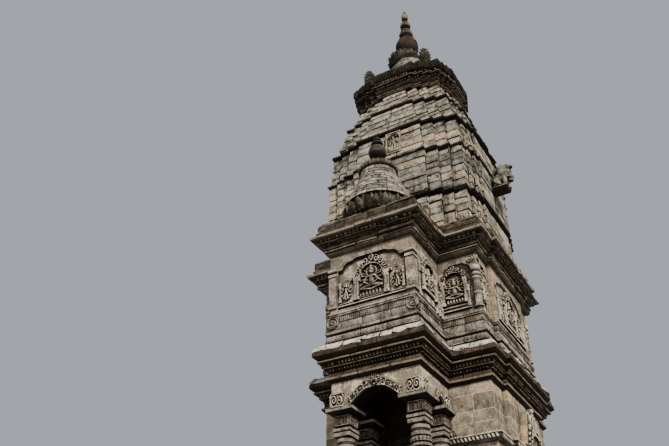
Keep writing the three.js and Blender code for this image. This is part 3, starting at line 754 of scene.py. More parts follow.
# ---------------------------------------------------------------------------------------------
# Finishes


def feed(tree, socket, value):
    """Give a socket a value, or a link where the value is another node's socket."""
    if isinstance(value, bpy.types.NodeSocket):
        tree.links.new(value, socket)
    else:
        socket.default_value = value


def put(tree, kind, settings=(), **sockets):
    """A shader node with its settings; each socket gets a value or a link. Underscores stand for spaces."""
    node = tree.nodes.new("ShaderNode" + kind)
    for key, value in dict(settings).items():
        setattr(node, key, value)
    for key, value in sockets.items():
        feed(tree, node.inputs[key.replace("_", " ")], value)
    return node


def put_group(tree, group, values):
    """A node that holds a node group, its inputs set by their labels."""
    node = put(tree, "Group", {"node_tree": group})
    for label, value in values.items():
        feed(tree, node.inputs[label], value)
    return node


def sums(tree, operation, first, second=0.0, clamp=True):
    """Two values joined by an operation, kept between 0 and 1 unless clamp is off."""
    node = put(tree, "Math", {"operation": operation, "use_clamp": clamp})
    for socket, value in zip(node.inputs, (first, second)):
        feed(tree, socket, value)
    return node.outputs[0]


def remap(tree, value, low, high, to_low, to_high):
    """A value between low and high carried over to the same place between to_low and to_high."""
    ends = {"From_Min": low, "From_Max": high, "To_Min": to_low, "To_Max": to_high}
    return put(tree, "MapRange", Value=value, **ends).outputs["Result"]


def rise_between(tree, value, low, high):
    """0 below low, 1 above high, or turned round where low is above high."""
    settings = {"interpolation_type": "SMOOTHSTEP"}
    return put(tree, "MapRange", settings, Value=value, From_Min=low, From_Max=high).outputs["Result"]


def laid_over(tree, share, under, over, mode="MIX"):
    """One colour over another by a share."""
    node = put(tree, "Mix", {"data_type": "RGBA", "blend_type": mode})
    for socket, value in zip((node.inputs[0], node.inputs[6], node.inputs[7]), (share, under, over)):
        feed(tree, socket, value)
    return node.outputs[2]


def brightened(tree, colour, value):
    """A colour times a value."""
    grey = put(tree, "CombineColor", Red=value, Green=value, Blue=value).outputs[0]
    return laid_over(tree, 1.0, colour, grey, "MULTIPLY")


def object_place(tree):
    """The place of a shaded point in its object."""
    return put(tree, "TexCoord").outputs["Object"]


def own_value(tree, key):
    """A value that the piece carries at its points."""
    return put(tree, "Attribute", {"attribute_name": key}).outputs["Fac"]


def new_group(name, inputs, outputs):
    """An empty node group with its sockets: the tree, what it is given and what it makes."""
    tree = bpy.data.node_groups.new(name, "ShaderNodeTree")
    for label, kind, value in inputs:
        socket = tree.interface.new_socket(label, in_out="INPUT", socket_type="NodeSocket" + kind)
        socket.default_value = value
    for label, kind in outputs:
        tree.interface.new_socket(label, in_out="OUTPUT", socket_type="NodeSocket" + kind)
    return tree, tree.nodes.new("NodeGroupInput").outputs, tree.nodes.new("NodeGroupOutput").inputs


def new_material(name):
    """A material with an empty node tree, and that tree."""
    material = bpy.data.materials.new(name)
    material.use_nodes = True
    material.node_tree.nodes.clear()
    return material, material.node_tree


def coursed_group():
    """Courses of blocks on upright faces: a tone for each block and a mask of the joints between."""
    if "coursed blocks" in bpy.data.node_groups:
        return bpy.data.node_groups["coursed blocks"]
    inputs = [("Length", "Float", 0.55), ("Height", "Float", 0.22), ("Joint", "Float", 0.006)]
    tree, given, made = new_group("coursed blocks", inputs, [("Tone", "Float"), ("Joints", "Float")])
    place = put(tree, "SeparateXYZ", Vector=object_place(tree)).outputs
    across = sums(tree, "ADD", place["X"], place["Y"], clamp=False)
    bricks = put(
        tree,
        "TexBrick",
        Vector=put(tree, "CombineXYZ", X=across, Y=place["Z"]).outputs[0],
        Color1=(0, 0, 0, 1),
        Color2=(1, 1, 1, 1),
        Mortar=(0.5, 0.5, 0.5, 1),
        Scale=1.0,
        Mortar_Size=given["Joint"],
        Mortar_Smooth=0.4,
        Brick_Width=given["Length"],
        Row_Height=given["Height"],
    )
    tree.links.new(put(tree, "RGBToBW", Color=bricks.outputs["Color"]).outputs[0], made["Tone"])
    tree.links.new(bricks.outputs["Fac"], made["Joints"])
    return tree


WEATHER_INPUTS = [
    ("Stone", "Color", (0.4, 0.35, 0.3, 1)),
    ("Pale", "Color", (0.6, 0.55, 0.48, 1)),
    ("Warm", "Color", (0.5, 0.36, 0.26, 1)),
    ("Stain and shade", "Color", (0.03, 0.025, 0.02, 1)),
    ("Growth", "Color", (0.09, 0.1, 0.06, 1)),
    ("Tone", "Float", 0.5),
    ("Mottle", "Float", 1.0),
    ("Ridge", "Float", 0.0),
    ("Hollow", "Float", 0.0),
    ("Staining", "Float", 0.4),
    ("Growing", "Float", 0.3),
    ("Underside shade", "Float", 0.6),
]


def weather_group():
    """Stone in the weather: patches, a tone for each stone, stains that run down, growth in spots and on top,
    painted shade in hollows (with the dirt of joints) and on undersides, and pale ridges. Its height is grain
    and pitting."""
    if "weathered stone" in bpy.data.node_groups:
        return bpy.data.node_groups["weathered stone"]
    outputs = [("Colour", "Color"), ("Roughness", "Float"), ("Height", "Float")]
    tree, given, made = new_group("weathered stone", WEATHER_INPUTS, outputs)
    place = object_place(tree)
    drawn = put(tree, "Mapping", Vector=place, Scale=(6.0, 6.0, 0.7)).outputs[0]
    broad = put(tree, "TexNoise", Vector=place, Scale=0.9, Detail=3.0, Roughness=0.55).outputs["Fac"]
    patch = put(tree, "TexNoise", Vector=place, Scale=5.6, Detail=7.0, Roughness=0.68).outputs["Fac"]
    grain = put(tree, "TexNoise", Vector=place, Scale=26.0, Detail=7.0, Roughness=0.72).outputs["Fac"]
    runs = put(tree, "TexNoise", Vector=drawn, Scale=1.0, Detail=4.0, Roughness=0.6).outputs["Fac"]
    spots = put(tree, "TexVoronoi", Vector=place, Scale=23.0, Randomness=1.0).outputs["Distance"]
    normal = put(tree, "SeparateXYZ", Vector=put(tree, "NewGeometry").outputs["Normal"]).outputs["Z"]

    def both(first, second):
        """Where two masks meet."""
        return sums(tree, "MULTIPLY", first, second)

    def rises(value, low, high):
        """A mask that rises between two values."""
        return rise_between(tree, value, low, high)

    # the stone itself: patches, warmer stones, a tone for each stone and specks
    colour = laid_over(tree, both(rises(patch, 0.47, 0.62), given["Mottle"]), given["Stone"], given["Pale"])
    colour = laid_over(tree, both(rises(given["Tone"], 0.62, 0.95), 0.75), colour, given["Warm"])
    colour = brightened(tree, colour, remap(tree, given["Tone"], 0.0, 1.0, 0.52, 1.32))
    colour = brightened(tree, colour, remap(tree, grain, 0.3, 0.7, 0.5, 1.42))
    colour = laid_over(tree, both(given["Ridge"], rises(patch, 0.2, 0.46)), colour, given["Pale"])

    # stains: runs of water, then a thin crust
    for stained in (
        both(rises(runs, 0.5, 0.72), rises(broad, 0.35, 0.62)),
        both(rises(grain, 0.46, 0.58), rises(patch, 0.52, 0.42)),
    ):
        colour = laid_over(tree, both(stained, given["Staining"]), colour, given["Stain and shade"])

    # growth: in spots and on what faces up
    spotted = both(rises(spots, 0.42, 0.12), rises(broad, 0.48, 0.66))
    above = both(rises(normal, 0.35, 0.8), rises(patch, 0.3, 0.5))
    colour = laid_over(tree, both(sums(tree, "ADD", spotted, above), given["Growing"]), colour,
                       given["Growth"])

    # painted shade in hollows and nooks, with the dirt of joints, and painted shade on what faces down
    for painted_shade in (
        both(given["Hollow"], remap(tree, patch, 0.3, 0.6, 0.72, 1.1)),
        both(rises(normal, -0.12, -0.5), given["Underside shade"]),
    ):
        colour = laid_over(tree, painted_shade, colour, given["Stain and shade"])
    tree.links.new(colour, made["Colour"])
    tree.links.new(remap(tree, grain, 0.3, 0.7, 0.8, 0.98), made["Roughness"])
    pits = sums(tree, "ADD", both(grain, 0.5), both(spots, 0.35))
    tree.links.new(sums(tree, "ADD", both(patch, 0.45), pits), made["Height"])
    return tree


# Stone, pale and warm colour, then how strong staining, growing, the painted shade on undersides and bump
# are. Last the length and height of the courses that the shader draws: None on pieces that carry their own
# values at their points, and () on the lions, whose skin has lost them.
FINISHES = {
    "tower ashlar": ((0.2, 0.182, 0.14), (0.48, 0.45, 0.375), (0.3, 0.225, 0.15), 1.0, 0.7, 0.9, 1.0, None),
    "tan ashlar": ((0.25, 0.207, 0.145), (0.56, 0.5, 0.39), (0.29, 0.21, 0.128), 0.75, 0.35, 0.7, 0.8, None),
    "tan wall": ((0.28, 0.22, 0.15), (0.5, 0.43, 0.33), (0.3, 0.2, 0.12), 0.5, 0.3, 0.8, 0.8, (0.6, 0.29)),
    # Near black: the dirt of the open joints and the painted shade in them, on the solids seen through the
    # joints.
    "shaded joint bed": ((0.007, 0.0055, 0.004), (0.016, 0.013, 0.01), (0.01, 0.007, 0.005), 0.6, 0.3, 0.9, 0.5,
                  None),
    "cornice stone": ((0.027, 0.0185, 0.0117), (0.085, 0.062, 0.042), (0.043, 0.0235, 0.0138), 0.8, 0.7, 0.8,
                      1.0, None),
    "cornice trim": ((0.053, 0.038, 0.0255), (0.155, 0.12, 0.084), (0.07, 0.04, 0.025), 0.7, 0.4, 0.95, 1.0,
                     None),
    # Darker than the moss alone: also the painted shade of the backlit finial.
    "dark moss and shade": ((0.0085, 0.009, 0.0062), (0.085, 0.082, 0.06), (0.015, 0.0135, 0.009), 0.7, 0.9, 0.95, 1.0,
                  None),
    "eaves stone": ((0.032, 0.0252, 0.0172), (0.12, 0.1, 0.072), (0.045, 0.03, 0.019), 0.8, 1.0, 0.6, 1.0,
                    None),
    "eaves trim": ((0.075, 0.057, 0.039), (0.22, 0.18, 0.13), (0.095, 0.058, 0.038), 0.7, 0.4, 0.7, 1.0,
                   None),
    "crown stone": ((0.0062, 0.0052, 0.0038), (0.03, 0.026, 0.019), (0.0125, 0.0085, 0.006), 0.5, 0.8, 0.6,
                    1.0, None),
    "ledge stone": ((0.024, 0.02, 0.015), (0.15, 0.134, 0.105), (0.03, 0.021, 0.015), 0.9, 0.7, 0.9, 1.0,
                    None),
    # Near black: painted shade of the porch's inside and arches, with their soot.
    "soot and shade stone": ((0.0125, 0.0092, 0.0045), (0.02, 0.0145, 0.0075), (0.016, 0.0105, 0.005), 0.3, 0.1, 0.4,
                    0.6, None),
    "door stone": ((0.02, 0.015, 0.01), (0.05, 0.039, 0.028), (0.026, 0.017, 0.011), 0.6, 0.2, 0.9, 0.7,
                   None),
    "fillet stone": ((0.235, 0.195, 0.145), (0.5, 0.44, 0.35), (0.25, 0.17, 0.115), 0.5, 0.3, 0.7, 1.0, None),
    "band stone": ((0.115, 0.099, 0.075), (0.33, 0.295, 0.24), (0.13, 0.094, 0.064), 0.8, 0.5, 0.95, 1.0,
                   None),
    "beam stone": ((0.25, 0.207, 0.147), (0.5, 0.435, 0.335), (0.28, 0.2, 0.128), 0.5, 0.3, 1.0, 0.9, None),
    "lime stone": ((0.27, 0.24, 0.185), (0.62, 0.58, 0.49), (0.33, 0.26, 0.18), 1.0, 0.2, 0.9, 1.0, None),
    "carved stone": ((0.165, 0.134, 0.099), (0.43, 0.375, 0.29), (0.235, 0.163, 0.11), 0.5, 0.3, 1.0, 0.9,
                     None),
    "column stone": ((0.06, 0.049, 0.037), (0.24, 0.207, 0.162), (0.072, 0.05, 0.036), 0.7, 0.25, 1.0, 0.9,
                     None),
    "plinth stone": ((0.17, 0.138, 0.102), (0.27, 0.23, 0.18), (0.19, 0.13, 0.09), 0.65, 0.4, 0.7, 1.0, None),
    "plinth core": ((0.17, 0.138, 0.102), (0.27, 0.23, 0.18), (0.19, 0.13, 0.09), 0.55, 0.4, 0.7, 1.0,
                    (0.62, 0.26)),
    "mossy stone": ((0.013, 0.0128, 0.0088), (0.13, 0.122, 0.09), (0.026, 0.022, 0.014), 0.7, 0.8, 0.95, 1.0,
                    None),
    "lichen stone": ((0.12, 0.115, 0.087), (0.32, 0.305, 0.25), (0.15, 0.113, 0.075), 0.7, 0.5, 0.95, 0.9,
                     None),
    "disc stone": ((0.036, 0.027, 0.019), (0.13, 0.105, 0.075), (0.045, 0.027, 0.018), 0.9, 0.7, 0.95, 1.0,
                   None),
    "ball stone": ((0.022, 0.024, 0.0195), (0.075, 0.077, 0.064), (0.03, 0.026, 0.02), 0.6, 0.6, 0.95, 0.8,
                   None),
    # Darker than the stone alone: also the painted shade of the backlit finial.
    "spire stone": ((0.033, 0.0245, 0.014), (0.19, 0.157, 0.105), (0.04, 0.026, 0.014), 0.7, 0.5, 1.0, 0.8,
                    None),
    "carved wall": ((0.19, 0.158, 0.118), (0.38, 0.325, 0.25), (0.24, 0.175, 0.12), 0.6, 0.35, 1.0, 0.9,
                    (0.52, 0.2)),
    "lion stone": ((0.085, 0.083, 0.056), (0.22, 0.208, 0.152), (0.11, 0.085, 0.055), 0.9, 0.7, 1.0, 1.0, ()),
}
FINISHES["shaded wall"] = FINISHES["tan wall"]
MOTTLES = {"tower ashlar": 0.55, "tan ashlar": 0.28, "tan wall": 0.28, "carved wall": 0.5, "lime stone": 0.7}


def stone_finish(name):
    """The material of one kind of stone: the weathered stone group with that kind's own values."""
    if name in bpy.data.materials:
        return bpy.data.materials[name]
    stone, pale, warm, staining, growing, underside_shade, bump, blocks = FINISHES[name]
    weather = bpy.context.scene.temple_weather
    material, tree = new_material(name)
    group = put_group(
        tree,
        weather_group(),
        {
            "Stone": (*stone, 1.0),
            "Pale": (*pale, 1.0),
            "Warm": (*warm, 1.0),
            "Stain and shade": weather.stain_and_shade,
            "Growth": weather.growth,
            "Mottle": MOTTLES.get(name, 1.0),
            "Staining": staining * weather.amount,
            "Growing": growing * weather.amount,
            "Underside shade": underside_shade * weather.amount,
        },
    )
    # Painted shade in nooks and crevices, from ambient occlusion, laid on with the joints' dirt.
    nook_shade = put(tree, "AmbientOcclusion", {"samples": 4}, Distance=0.065).outputs["AO"]
    nook_shade = rise_between(tree, nook_shade, 0.82, 0.3)
    hollow = 0.0
    if blocks:
        laid = put_group(tree, coursed_group(), {"Length": blocks[0], "Height": blocks[1]})
        tree.links.new(laid.outputs["Tone"], group.inputs["Tone"])
        hollow = sums(tree, "MULTIPLY", laid.outputs["Joints"], 0.6)
        if name == "shaded wall":  # painted shade, with soot, where it stands inside the porch
            place = put(tree, "SeparateXYZ", Vector=object_place(tree)).outputs["X"]
            inside = rise_between(tree, sums(tree, "ABSOLUTE", place), PORCH_X + 0.01, PORCH_X - 0.01)
            hollow = sums(tree, "MAXIMUM", hollow, inside)
    elif blocks is None:
        tree.links.new(own_value(tree, "tone"), group.inputs["Tone"])
        tree.links.new(own_value(tree, "pale"), group.inputs["Ridge"])
        hollow = own_value(tree, "dirt_and_shade")
    tree.links.new(sums(tree, "MAXIMUM", hollow, nook_shade), group.inputs["Hollow"])
    grain = put(tree, "Bump", Strength=bump, Distance=0.02, Height=group.outputs["Height"]).outputs["Normal"]
    shader = put(
        tree,
        "BsdfPrincipled",
        Base_Color=group.outputs["Colour"],
        Roughness=group.outputs["Roughness"],
        Normal=grain,
        Specular_IOR_Level=0.08,
    )
    put(tree, "OutputMaterial", Surface=shader.outputs[0])
    return material


def metal_finish():
    """Old red-brown patina with green-black growth on one side and worn rims."""
    if "shaded vase patina" in bpy.data.materials:
        return bpy.data.materials["shaded vase patina"]
    material, tree = new_material("shaded vase patina")
    worn = own_value(tree, "pale")
    group = put_group(
        tree,
        weather_group(),
        {
            # These colours are darker than the patina alone: they also paint the shade of the backlit finial.
            "Stone": (0.015, 0.0064, 0.0046, 1),
            "Pale": (0.05, 0.029, 0.0145, 1),
            "Warm": (0.028, 0.0085, 0.0055, 1),
            "Stain and shade": bpy.context.scene.temple_weather.stain_and_shade,
            "Growth": (0.012, 0.017, 0.009, 1),
            "Staining": 0.5,
            "Growing": 0.8,
            "Underside shade": 0.7,
            "Tone": 0.4,
            "Ridge": worn,
            "Hollow": own_value(tree, "dirt_and_shade"),
        },
    )
    dents = put(tree, "Bump", Strength=0.5, Distance=0.008, Height=group.outputs["Height"]).outputs["Normal"]
    shader = put(
        tree,
        "BsdfPrincipled",
        Base_Color=group.outputs["Colour"],
        Roughness=sums(tree, "SUBTRACT", group.outputs["Roughness"], 0.1),
        Metallic=sums(tree, "MULTIPLY", worn, 0.3),
        Specular_IOR_Level=0.15,
        Normal=dents,
    )
    put(tree, "OutputMaterial", Surface=shader.outputs[0])
    return material


# ---------------------------------------------------------------------------------------------
# Pieces, from the ground up

TIER_RISE = FLOOR / 3
TIERS = [(3.22, 4.27, 3.1), (2.66, 3.71, 2.54), (2.1, 3.15, 1.98)]
STAIR_X, STAIR_TOP, GOING, RISERS = 0.7, 3.19, 0.185, 18
CHEEK_WIDE, CHEEK_RISE = 0.3, 0.26

BROW_DROP, COPING_DROP = 0.2, 0.11  # from a tier's top to the feet of its upper two mouldings
TIER_FOOT = [(-0.05, 0.004), (0.034, 0.006, 0, 0.5), (0.036, 0.02), (0.036, 0.096, 0.3), (0.02, 0.11, 0.2),
             (-0.05, 0.112)]
TIER_ROLL = [(-0.05, 0.118, 0, 0.8), (0.004, 0.13, 0, 0.5), (0.02, 0.15), (0.024, 0.175, 0.4), (0.018, 0.215),
             (-0.05, 0.225, 0, 0.6)]
TIER_BROW = [(-0.05, 0, 0, 0.9), (0.006, 0.004, 0, 0.6), (0.012, 0.02), (0.018, 0.06, 0.2), (0.02, 0.078),
             (-0.05, 0.08)]
TIER_COPING = [(-0.6, 0.0), (0.0, 0.0, 0, 1), (0.03, 0.006, 0, 0.6), (0.036, 0.02), (0.036, 0.088, 0.4),
               (0.028, 0.102, 0.4), (-0.2, 0.108), (-0.6, 0.109)]


def lay_plinth(sizes):
    """Three tiers, each with a foot, a roll, courses of stone, a brow and a coping."""
    rng = np.random.default_rng(11)
    stones = Carving()
    for level, (x, front, back) in enumerate(TIERS):
        low, high = level * TIER_RISE, (level + 1) * TIER_RISE
        plan = np.array([(-x, -front), (x, -front), (x, back), (-x, back)])
        stack(stones, plan, [(-0.02, low + 0.01), (-0.02, high - 0.006)], 0.3)
        course(stones, plan, lifted(TIER_FOOT, low), 0.8, rng, uneven=0.001, worn=0.002)
        course(stones, plan, lifted(TIER_ROLL, low), 0.62, rng, uneven=0.001, worn=0.003)
        courses(stones, plan, low + 0.23, high - BROW_DROP, 0.29, sizes.plinth_stone, rng, proud=0.004,
                chips=0.004)
        course(stones, plan, lifted(TIER_BROW, high - BROW_DROP), 0.5, rng, uneven=0.002)
        course(stones, plan, lifted(TIER_COPING, high - COPING_DROP), 0.7, rng, uneven=0.0, worn=0.002)
    make_piece("plinth stones", stones, "plinth stone",
               ("plinth_tier_1", "plinth_tier_2", "plinth_tier_3"))


def lay_steps():
    """Each step is a row of slabs with a worn nosing over its riser."""
    rng = np.random.default_rng(12)
    stones = Carving()
    rise = FLOOR / RISERS
    for step in range(RISERS - 1):
        y = -STAIR_TOP - GOING * (step + 1)
        top = FLOOR - rise * (step + 1)
        path = [(-STAIR_X + 0.002, y), (STAIR_X - 0.002, y)]
        low = top - rise + 0.006
        rows = [
            (-GOING, low), (0.006, low + 0.002, 0, 0.7), (0.008, top - 0.06), (0.02, top - 0.052, 0, 0.3),
            (0.024, top - 0.012, 0.5), (0.014, top + 0.002, 0.5), (-0.08, top + 0.003, 0.2),
            (-GOING, top + 0.004, 0, 0.5),
        ]
        course(stones, path, rows, 0.45, rng, closed=False, uneven=0.002, worn=0.003)
    make_piece("stair slabs", stones, "plinth stone")


POST_DEEP = 0.42  # length of the post at the foot of a cheek wall
CHEEK_SLABS = 8
KNOB = [(0.06, 0.07), (0.09, 0.1), (0.1, 0.15, 0.4), (0.07, 0.2, 0.3), (0.04, 0.22), (0.05, 0.245, 0.4),
        (0.02, 0.28)]
POST_CAP = [(-0.02, -0.05), (0.0, -0.045), (0.0, 0.02, 0.3), (-0.03, 0.05, 0.5), (-0.12, 0.07)]


def lay_cheeks():
    """Slabs along the slope of each cheek wall, and a cap with a knob on each post at its foot."""
    rng = np.random.default_rng(13)
    stones = Carving()
    foot_y, post_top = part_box("stair_cheek_right")[0].y, FLOOR / RISERS + CHEEK_RISE
    low = np.array([foot_y + POST_DEEP, post_top])
    high = np.array([-STAIR_TOP, FLOOR + CHEEK_RISE])
    half = CHEEK_WIDE / 2 + 0.014
    section = np.array([(-half, -0.07), (half, -0.07), (half, 0.012), (half - 0.02, 0.03),
                        (-half + 0.02, 0.03), (-half, 0.012)])
    for side in (-1, 1):
        centre = side * (STAIR_X + CHEEK_WIDE / 2)
        for k in range(CHEEK_SLABS):
            first, last = k / CHEEK_SLABS, (k + 1) / CHEEK_SLABS
            t = np.array([first + 0.003, first + 0.02, last - 0.02, last - 0.003])
            along = low + (high - low) * t[:, None]
            size = np.array([0.985, 1, 1, 0.985])[:, None]
            x = centre + section[None, :, 0] * size
            z = along[:, 1, None] + section[None, :, 1] * size
            points = np.stack([x, along[:, 0, None] + 0 * z, z], -1)
            points += 0.002 * swell(points, 0.2)[..., None]
            joints = np.array([0.8, 0, 0, 0.8])[:, None]
            stones.add(points, tube_faces(len(t), len(section)), rng.random(), 0.3, joints)
        middle = (foot_y + foot_y + POST_DEEP) / 2
        stack(stones, square(centre, middle, CHEEK_WIDE / 2, POST_DEEP / 2), lifted(POST_CAP, post_top), 0.6)
        turned(stones, lifted(KNOB, post_top), (centre, middle), 20)
    make_piece("cheek slabs", stones, "plinth stone")


WALL_HOOD = [(-0.05, 0.0, 0, 0.6), (0.047, 0.001, 0.2, 0.3), (0.0875, 0.041, 0, 0.9), (0.0875, 0.1, 0, 0.9),
             (-0.05, 0.1015)]
WALL_HOOD_TOP = [(-0.05, 0.102), (0.09, 0.102, 0, 0.7), (0.12, 0.108, 0.6), (0.12, 0.128, 0.8),
                 (0.05, 0.15, 0.3), (-0.05, 0.156)]
WALL_FOOT = [(-0.05, 0.0), (0.105, 0.0), (0.112, 0.02, 0.1), (0.112, 0.13, 0.4), (0.07, 0.142), (-0.05, 0.15)]
WALL_TORUS = [(-0.05, 0.19, 0, 0.9), (0.06, 0.195, 0, 0.6), (0.085, 0.21), (0.1, 0.25, 0.5), (0.09, 0.3),
              (0.03, 0.315, 0, 0.5), (-0.05, 0.32)]
WALL_FOOT_TOP = 0.4  # from the floor to the first course of plain stones


def lay_walls(sizes):
    """The shrine's walls: plain courses, darker ones inside the porch, and the mouldings of foot and hood."""
    rng = np.random.default_rng(21)
    stones = Carving()
    small = {"proud": 0.01, "uneven": 0.001, "worn": 0.0025, "bevel": 0.009, "joint": 0.001, "mortar": True}
    high, long = sizes.wall_course, sizes.wall_stone
    courses(stones, OUTER_PATH, FLOOR + WALL_FOOT_TOP, HOOD, high, long, rng, closed=False, **small)
    courses(stones, OUTER_PATH, HOOD + 0.15, EAVES, high, long, rng, closed=False, **small)
    make_piece("wall stones", stones, "tan ashlar")
    inner = Carving()
    for path in ([(-PORCH_X, -WALL_Y), (-DOOR_EDGE, -WALL_Y)], [(DOOR_EDGE, -WALL_Y), (PORCH_X, -WALL_Y)]):
        courses(inner, path, FLOOR + WALL_FOOT_TOP, HOOD, high, long, rng, closed=False, proud=0.01)
    across = [(-PORCH_X, -WALL_Y - 0.012), (PORCH_X, -WALL_Y - 0.012)]
    courses(inner, across, HOOD + 0.16, EAVES - 0.02, high, long, rng, closed=False, proud=0.004)
    # The stones inside the porch are painted dark for its shade, with soot.
    make_piece("porch inner stones", inner, "soot and shade stone")
    hood = Carving()
    lay_bands(hood, BODY_PLAN, ((WALL_HOOD, 0.7), (WALL_HOOD_TOP, 0.7)), HOOD, rng, uneven=0.001)
    row(hood, BODY_PLAN, 0.05, HOOD, 0.066, block(0.018, 0.066, 0.032, 0.1, 0.008, 0.022), rng, pale=0.7)
    row(hood, BODY_PLAN, 0.1, HOOD + 0.128, 0.05, bead(0.018, 0.018, 0.018, 6, 2), rng, pale=0.8)
    for side in (-1, 1):
        scroll_boss(hood, "front", WALL_Y + 0.09, side * 0.88, HOOD + 0.2, 0.05, side)
    lay_bands(hood, DOOR_PATH, ((WALL_FOOT, 0.7), (WALL_TORUS, 0.55)), FLOOR, rng, closed=False, uneven=0.002)
    make_piece("wall mouldings", hood, "fillet stone")


SHRINE_FOOT, SHRINE_SPRING = FLOOR + 0.43, 5.66


def carve_shrines():
    """Flames round the arch of each blind shrine, a beaded edge up its jambs and a bud on top."""
    stones = Carving()
    bay_x, bay_y = WALL_X + BAY_OUT, WALL_Y + BAY_OUT
    for turn, distance in (("right", bay_x), ("left", bay_x), ("back", bay_y)):
        u, v = plane_grid(-0.47, 0.47, SHRINE_FOOT, 6.5, 0.0118 * GRAIN[turn])
        a = np.abs(u)
        below = v < SHRINE_SPRING
        beads = smooth(np.cos(v * 2 * math.pi / 0.06) * np.cos((a - 0.355) * 2 * math.pi / 0.11), 0, 0.5)
        arch = flame_arch(u, v, 0, SHRINE_SPRING, 0.3, 0.43, 0.8, 11, 0.5)
        high = highest(
            np.where(between(a, 0.3, 0.41) & below, 0.45 + 0.4 * beads, arch),
            0.9 * ((np.abs(a - 0.31) < 0.012) & below),
            knob(u, v, 0, 6.42, 0.05, 1.2, 1.3),
        )
        relief_open(stones, turn, distance + 0.108, u, v, high * 0.06, high < 0.02)
        u, v = plane_grid(-0.305, 0.305, SHRINE_FOOT, 5.655, 0.0135 * GRAIN[turn])
        figure = highest(seated_deity(u, v, 0, FLOOR + 0.75, 1.05), 0.25 * foliage(u, v, 0.09))
        # The figure in the blind shrine gets painted shade all over, as in a recess.
        relief(stones, turn, distance + 0.03, u, v, figure * 0.04, 0.012, 0.4, 0.03, 0.7)
        u, v = plane_grid(-0.3, 0.3, 5.722, 5.96, 0.012 * GRAIN[turn])
        rays = smooth(np.cos(np.arctan2(u, v - SHRINE_SPRING) * 14), -0.4, 0.4)
        outside = np.hypot(u, v - SHRINE_SPRING) > 0.292
        # The rays over the arch get painted shade all over.
        relief_open(stones, turn, distance + 0.113, u, v, rays * 0.012, outside, 0.9)
    make_piece("shrine carvings", stones, "carved stone")


def scroll_boss(carving, turn, distance, x, z, radius, hand=1.0):
    """A round boss carved as a scroll inside a rim."""
    reach = radius * 1.1
    u, v = plane_grid(x - reach, x + reach, z - reach, z + reach, radius / 12)
    high = highest(
        scroll(u, v, x, z, radius * 0.86, hand, 1.7, 0.7),
        hoop(u, v, x, z, radius * 0.93, radius * 0.12, 0.8),
        0.3 * knob(u, v, x, z, radius * 1.02),
    )
    relief(carving, turn, distance - 0.006, u, v, high * 0.035, 0.01, 0.5, 0.03)


# Lower cornice: [out, height over the eaves, pale, dirt and painted shade]

LOWER_CORE = [(0.0, 0.0), (0.02, 0.002), (0.02, 0.25), (0.09, 0.27), (0.09, 0.34), (0.15, 0.38), (0.15, 0.5),
              (0.04, 0.668)]
LOWER_FILLETS = [
    ([(-0.05, 0.0), (0.03, 0.002, 0, 0.8), (0.073, 0.044, 0, 0.6), (0.078, 0.048, 0.9), (0.078, 0.088, 1),
      (0.06, 0.095, 0.2), (-0.05, 0.096)], 0.62),
    ([(-0.05, 0.242), (0.085, 0.242, 0, 0.9), (0.112, 0.248, 0.7), (0.112, 0.264, 0.9), (0.09, 0.27),
      (-0.05, 0.271)], 0.62),
    ([(-0.05, 0.335), (0.13, 0.336, 0, 0.9), (0.19, 0.344, 0.7), (0.192, 0.37, 0.9), (0.15, 0.38),
      (-0.05, 0.382)], 0.55),
]
LOWER_DARK = [
    ([(-0.05, 0.096, 0, 1), (0.03, 0.098, 0, 0.7), (0.037, 0.106, 0.5), (0.037, 0.164, 0.5),
      (0.03, 0.172, 0, 0.8), (-0.05, 0.174, 0, 1)], 0.5),
    ([(-0.05, 0.382, 0, 1), (0.15, 0.384, 0, 1), (0.2, 0.4, 0, 0.5), (0.24, 0.436), (0.25, 0.446, 0.2),
      (0.25, 0.512, 0.3), (0.243, 0.524, 1), (0.2, 0.528, 0, 0.6), (-0.05, 0.53)], 0.5),
]
LOWER_SLOPE = [(-0.05, 0.53, 0, 1), (0.17, 0.532, 0, 1), (0.222, 0.54, 0.4, 0.4), (0.228, 0.556, 0.8),
               (0.206, 0.59, 0.7), (0.19, 0.612, 0.9), (0.166, 0.65, 0.8), (0.14, 0.668, 0.6), (-0.05, 0.674)]


def carve_lower_cornice():
    """A dark cornice with pale fillets, beads and blocks, under a slope of worn, limy stones."""
    rng = np.random.default_rng(31)
    dark, bright, lime = Carving(), Carving(), Carving()
    stack(dark, TEMPLE_PLAN, lifted(LOWER_CORE, EAVES), 0.2)
    lay_bands(dark, TEMPLE_PLAN, LOWER_DARK, EAVES, rng, uneven=0.003, chips=0.004)
    lay_bands(bright, TEMPLE_PLAN, LOWER_FILLETS, EAVES, rng, uneven=0.002, chips=0.005)
    lay_bands(lime, TEMPLE_PLAN, [(LOWER_SLOPE, 0.3)], EAVES, rng, uneven=0.016, chips=0.05, worn=0.014,
              deepest=0.05)
    row(bright, TEMPLE_PLAN, 0.02, EAVES + 0.208, 0.056, bead(0.024, 0.07, 0.03), rng, pale=0.9, missing=0.03)
    row(bright, TEMPLE_PLAN, 0.085, EAVES + 0.272, 0.064, block(0.021, 0.055, 0.0, 0.06, 0.01), rng, pale=0.7,
        missing=0.05)
    nodes = ("lower_cornice_body", "lower_cornice_porch")
    make_piece("lower cornice slope", lime, "lime stone", nodes)
    make_piece("lower cornice stones", dark, "cornice stone", nodes)
    make_piece("lower cornice fillets", bright, "cornice trim", nodes)


# Base band: [out, height over the lower cornice, pale, dirt and painted shade]

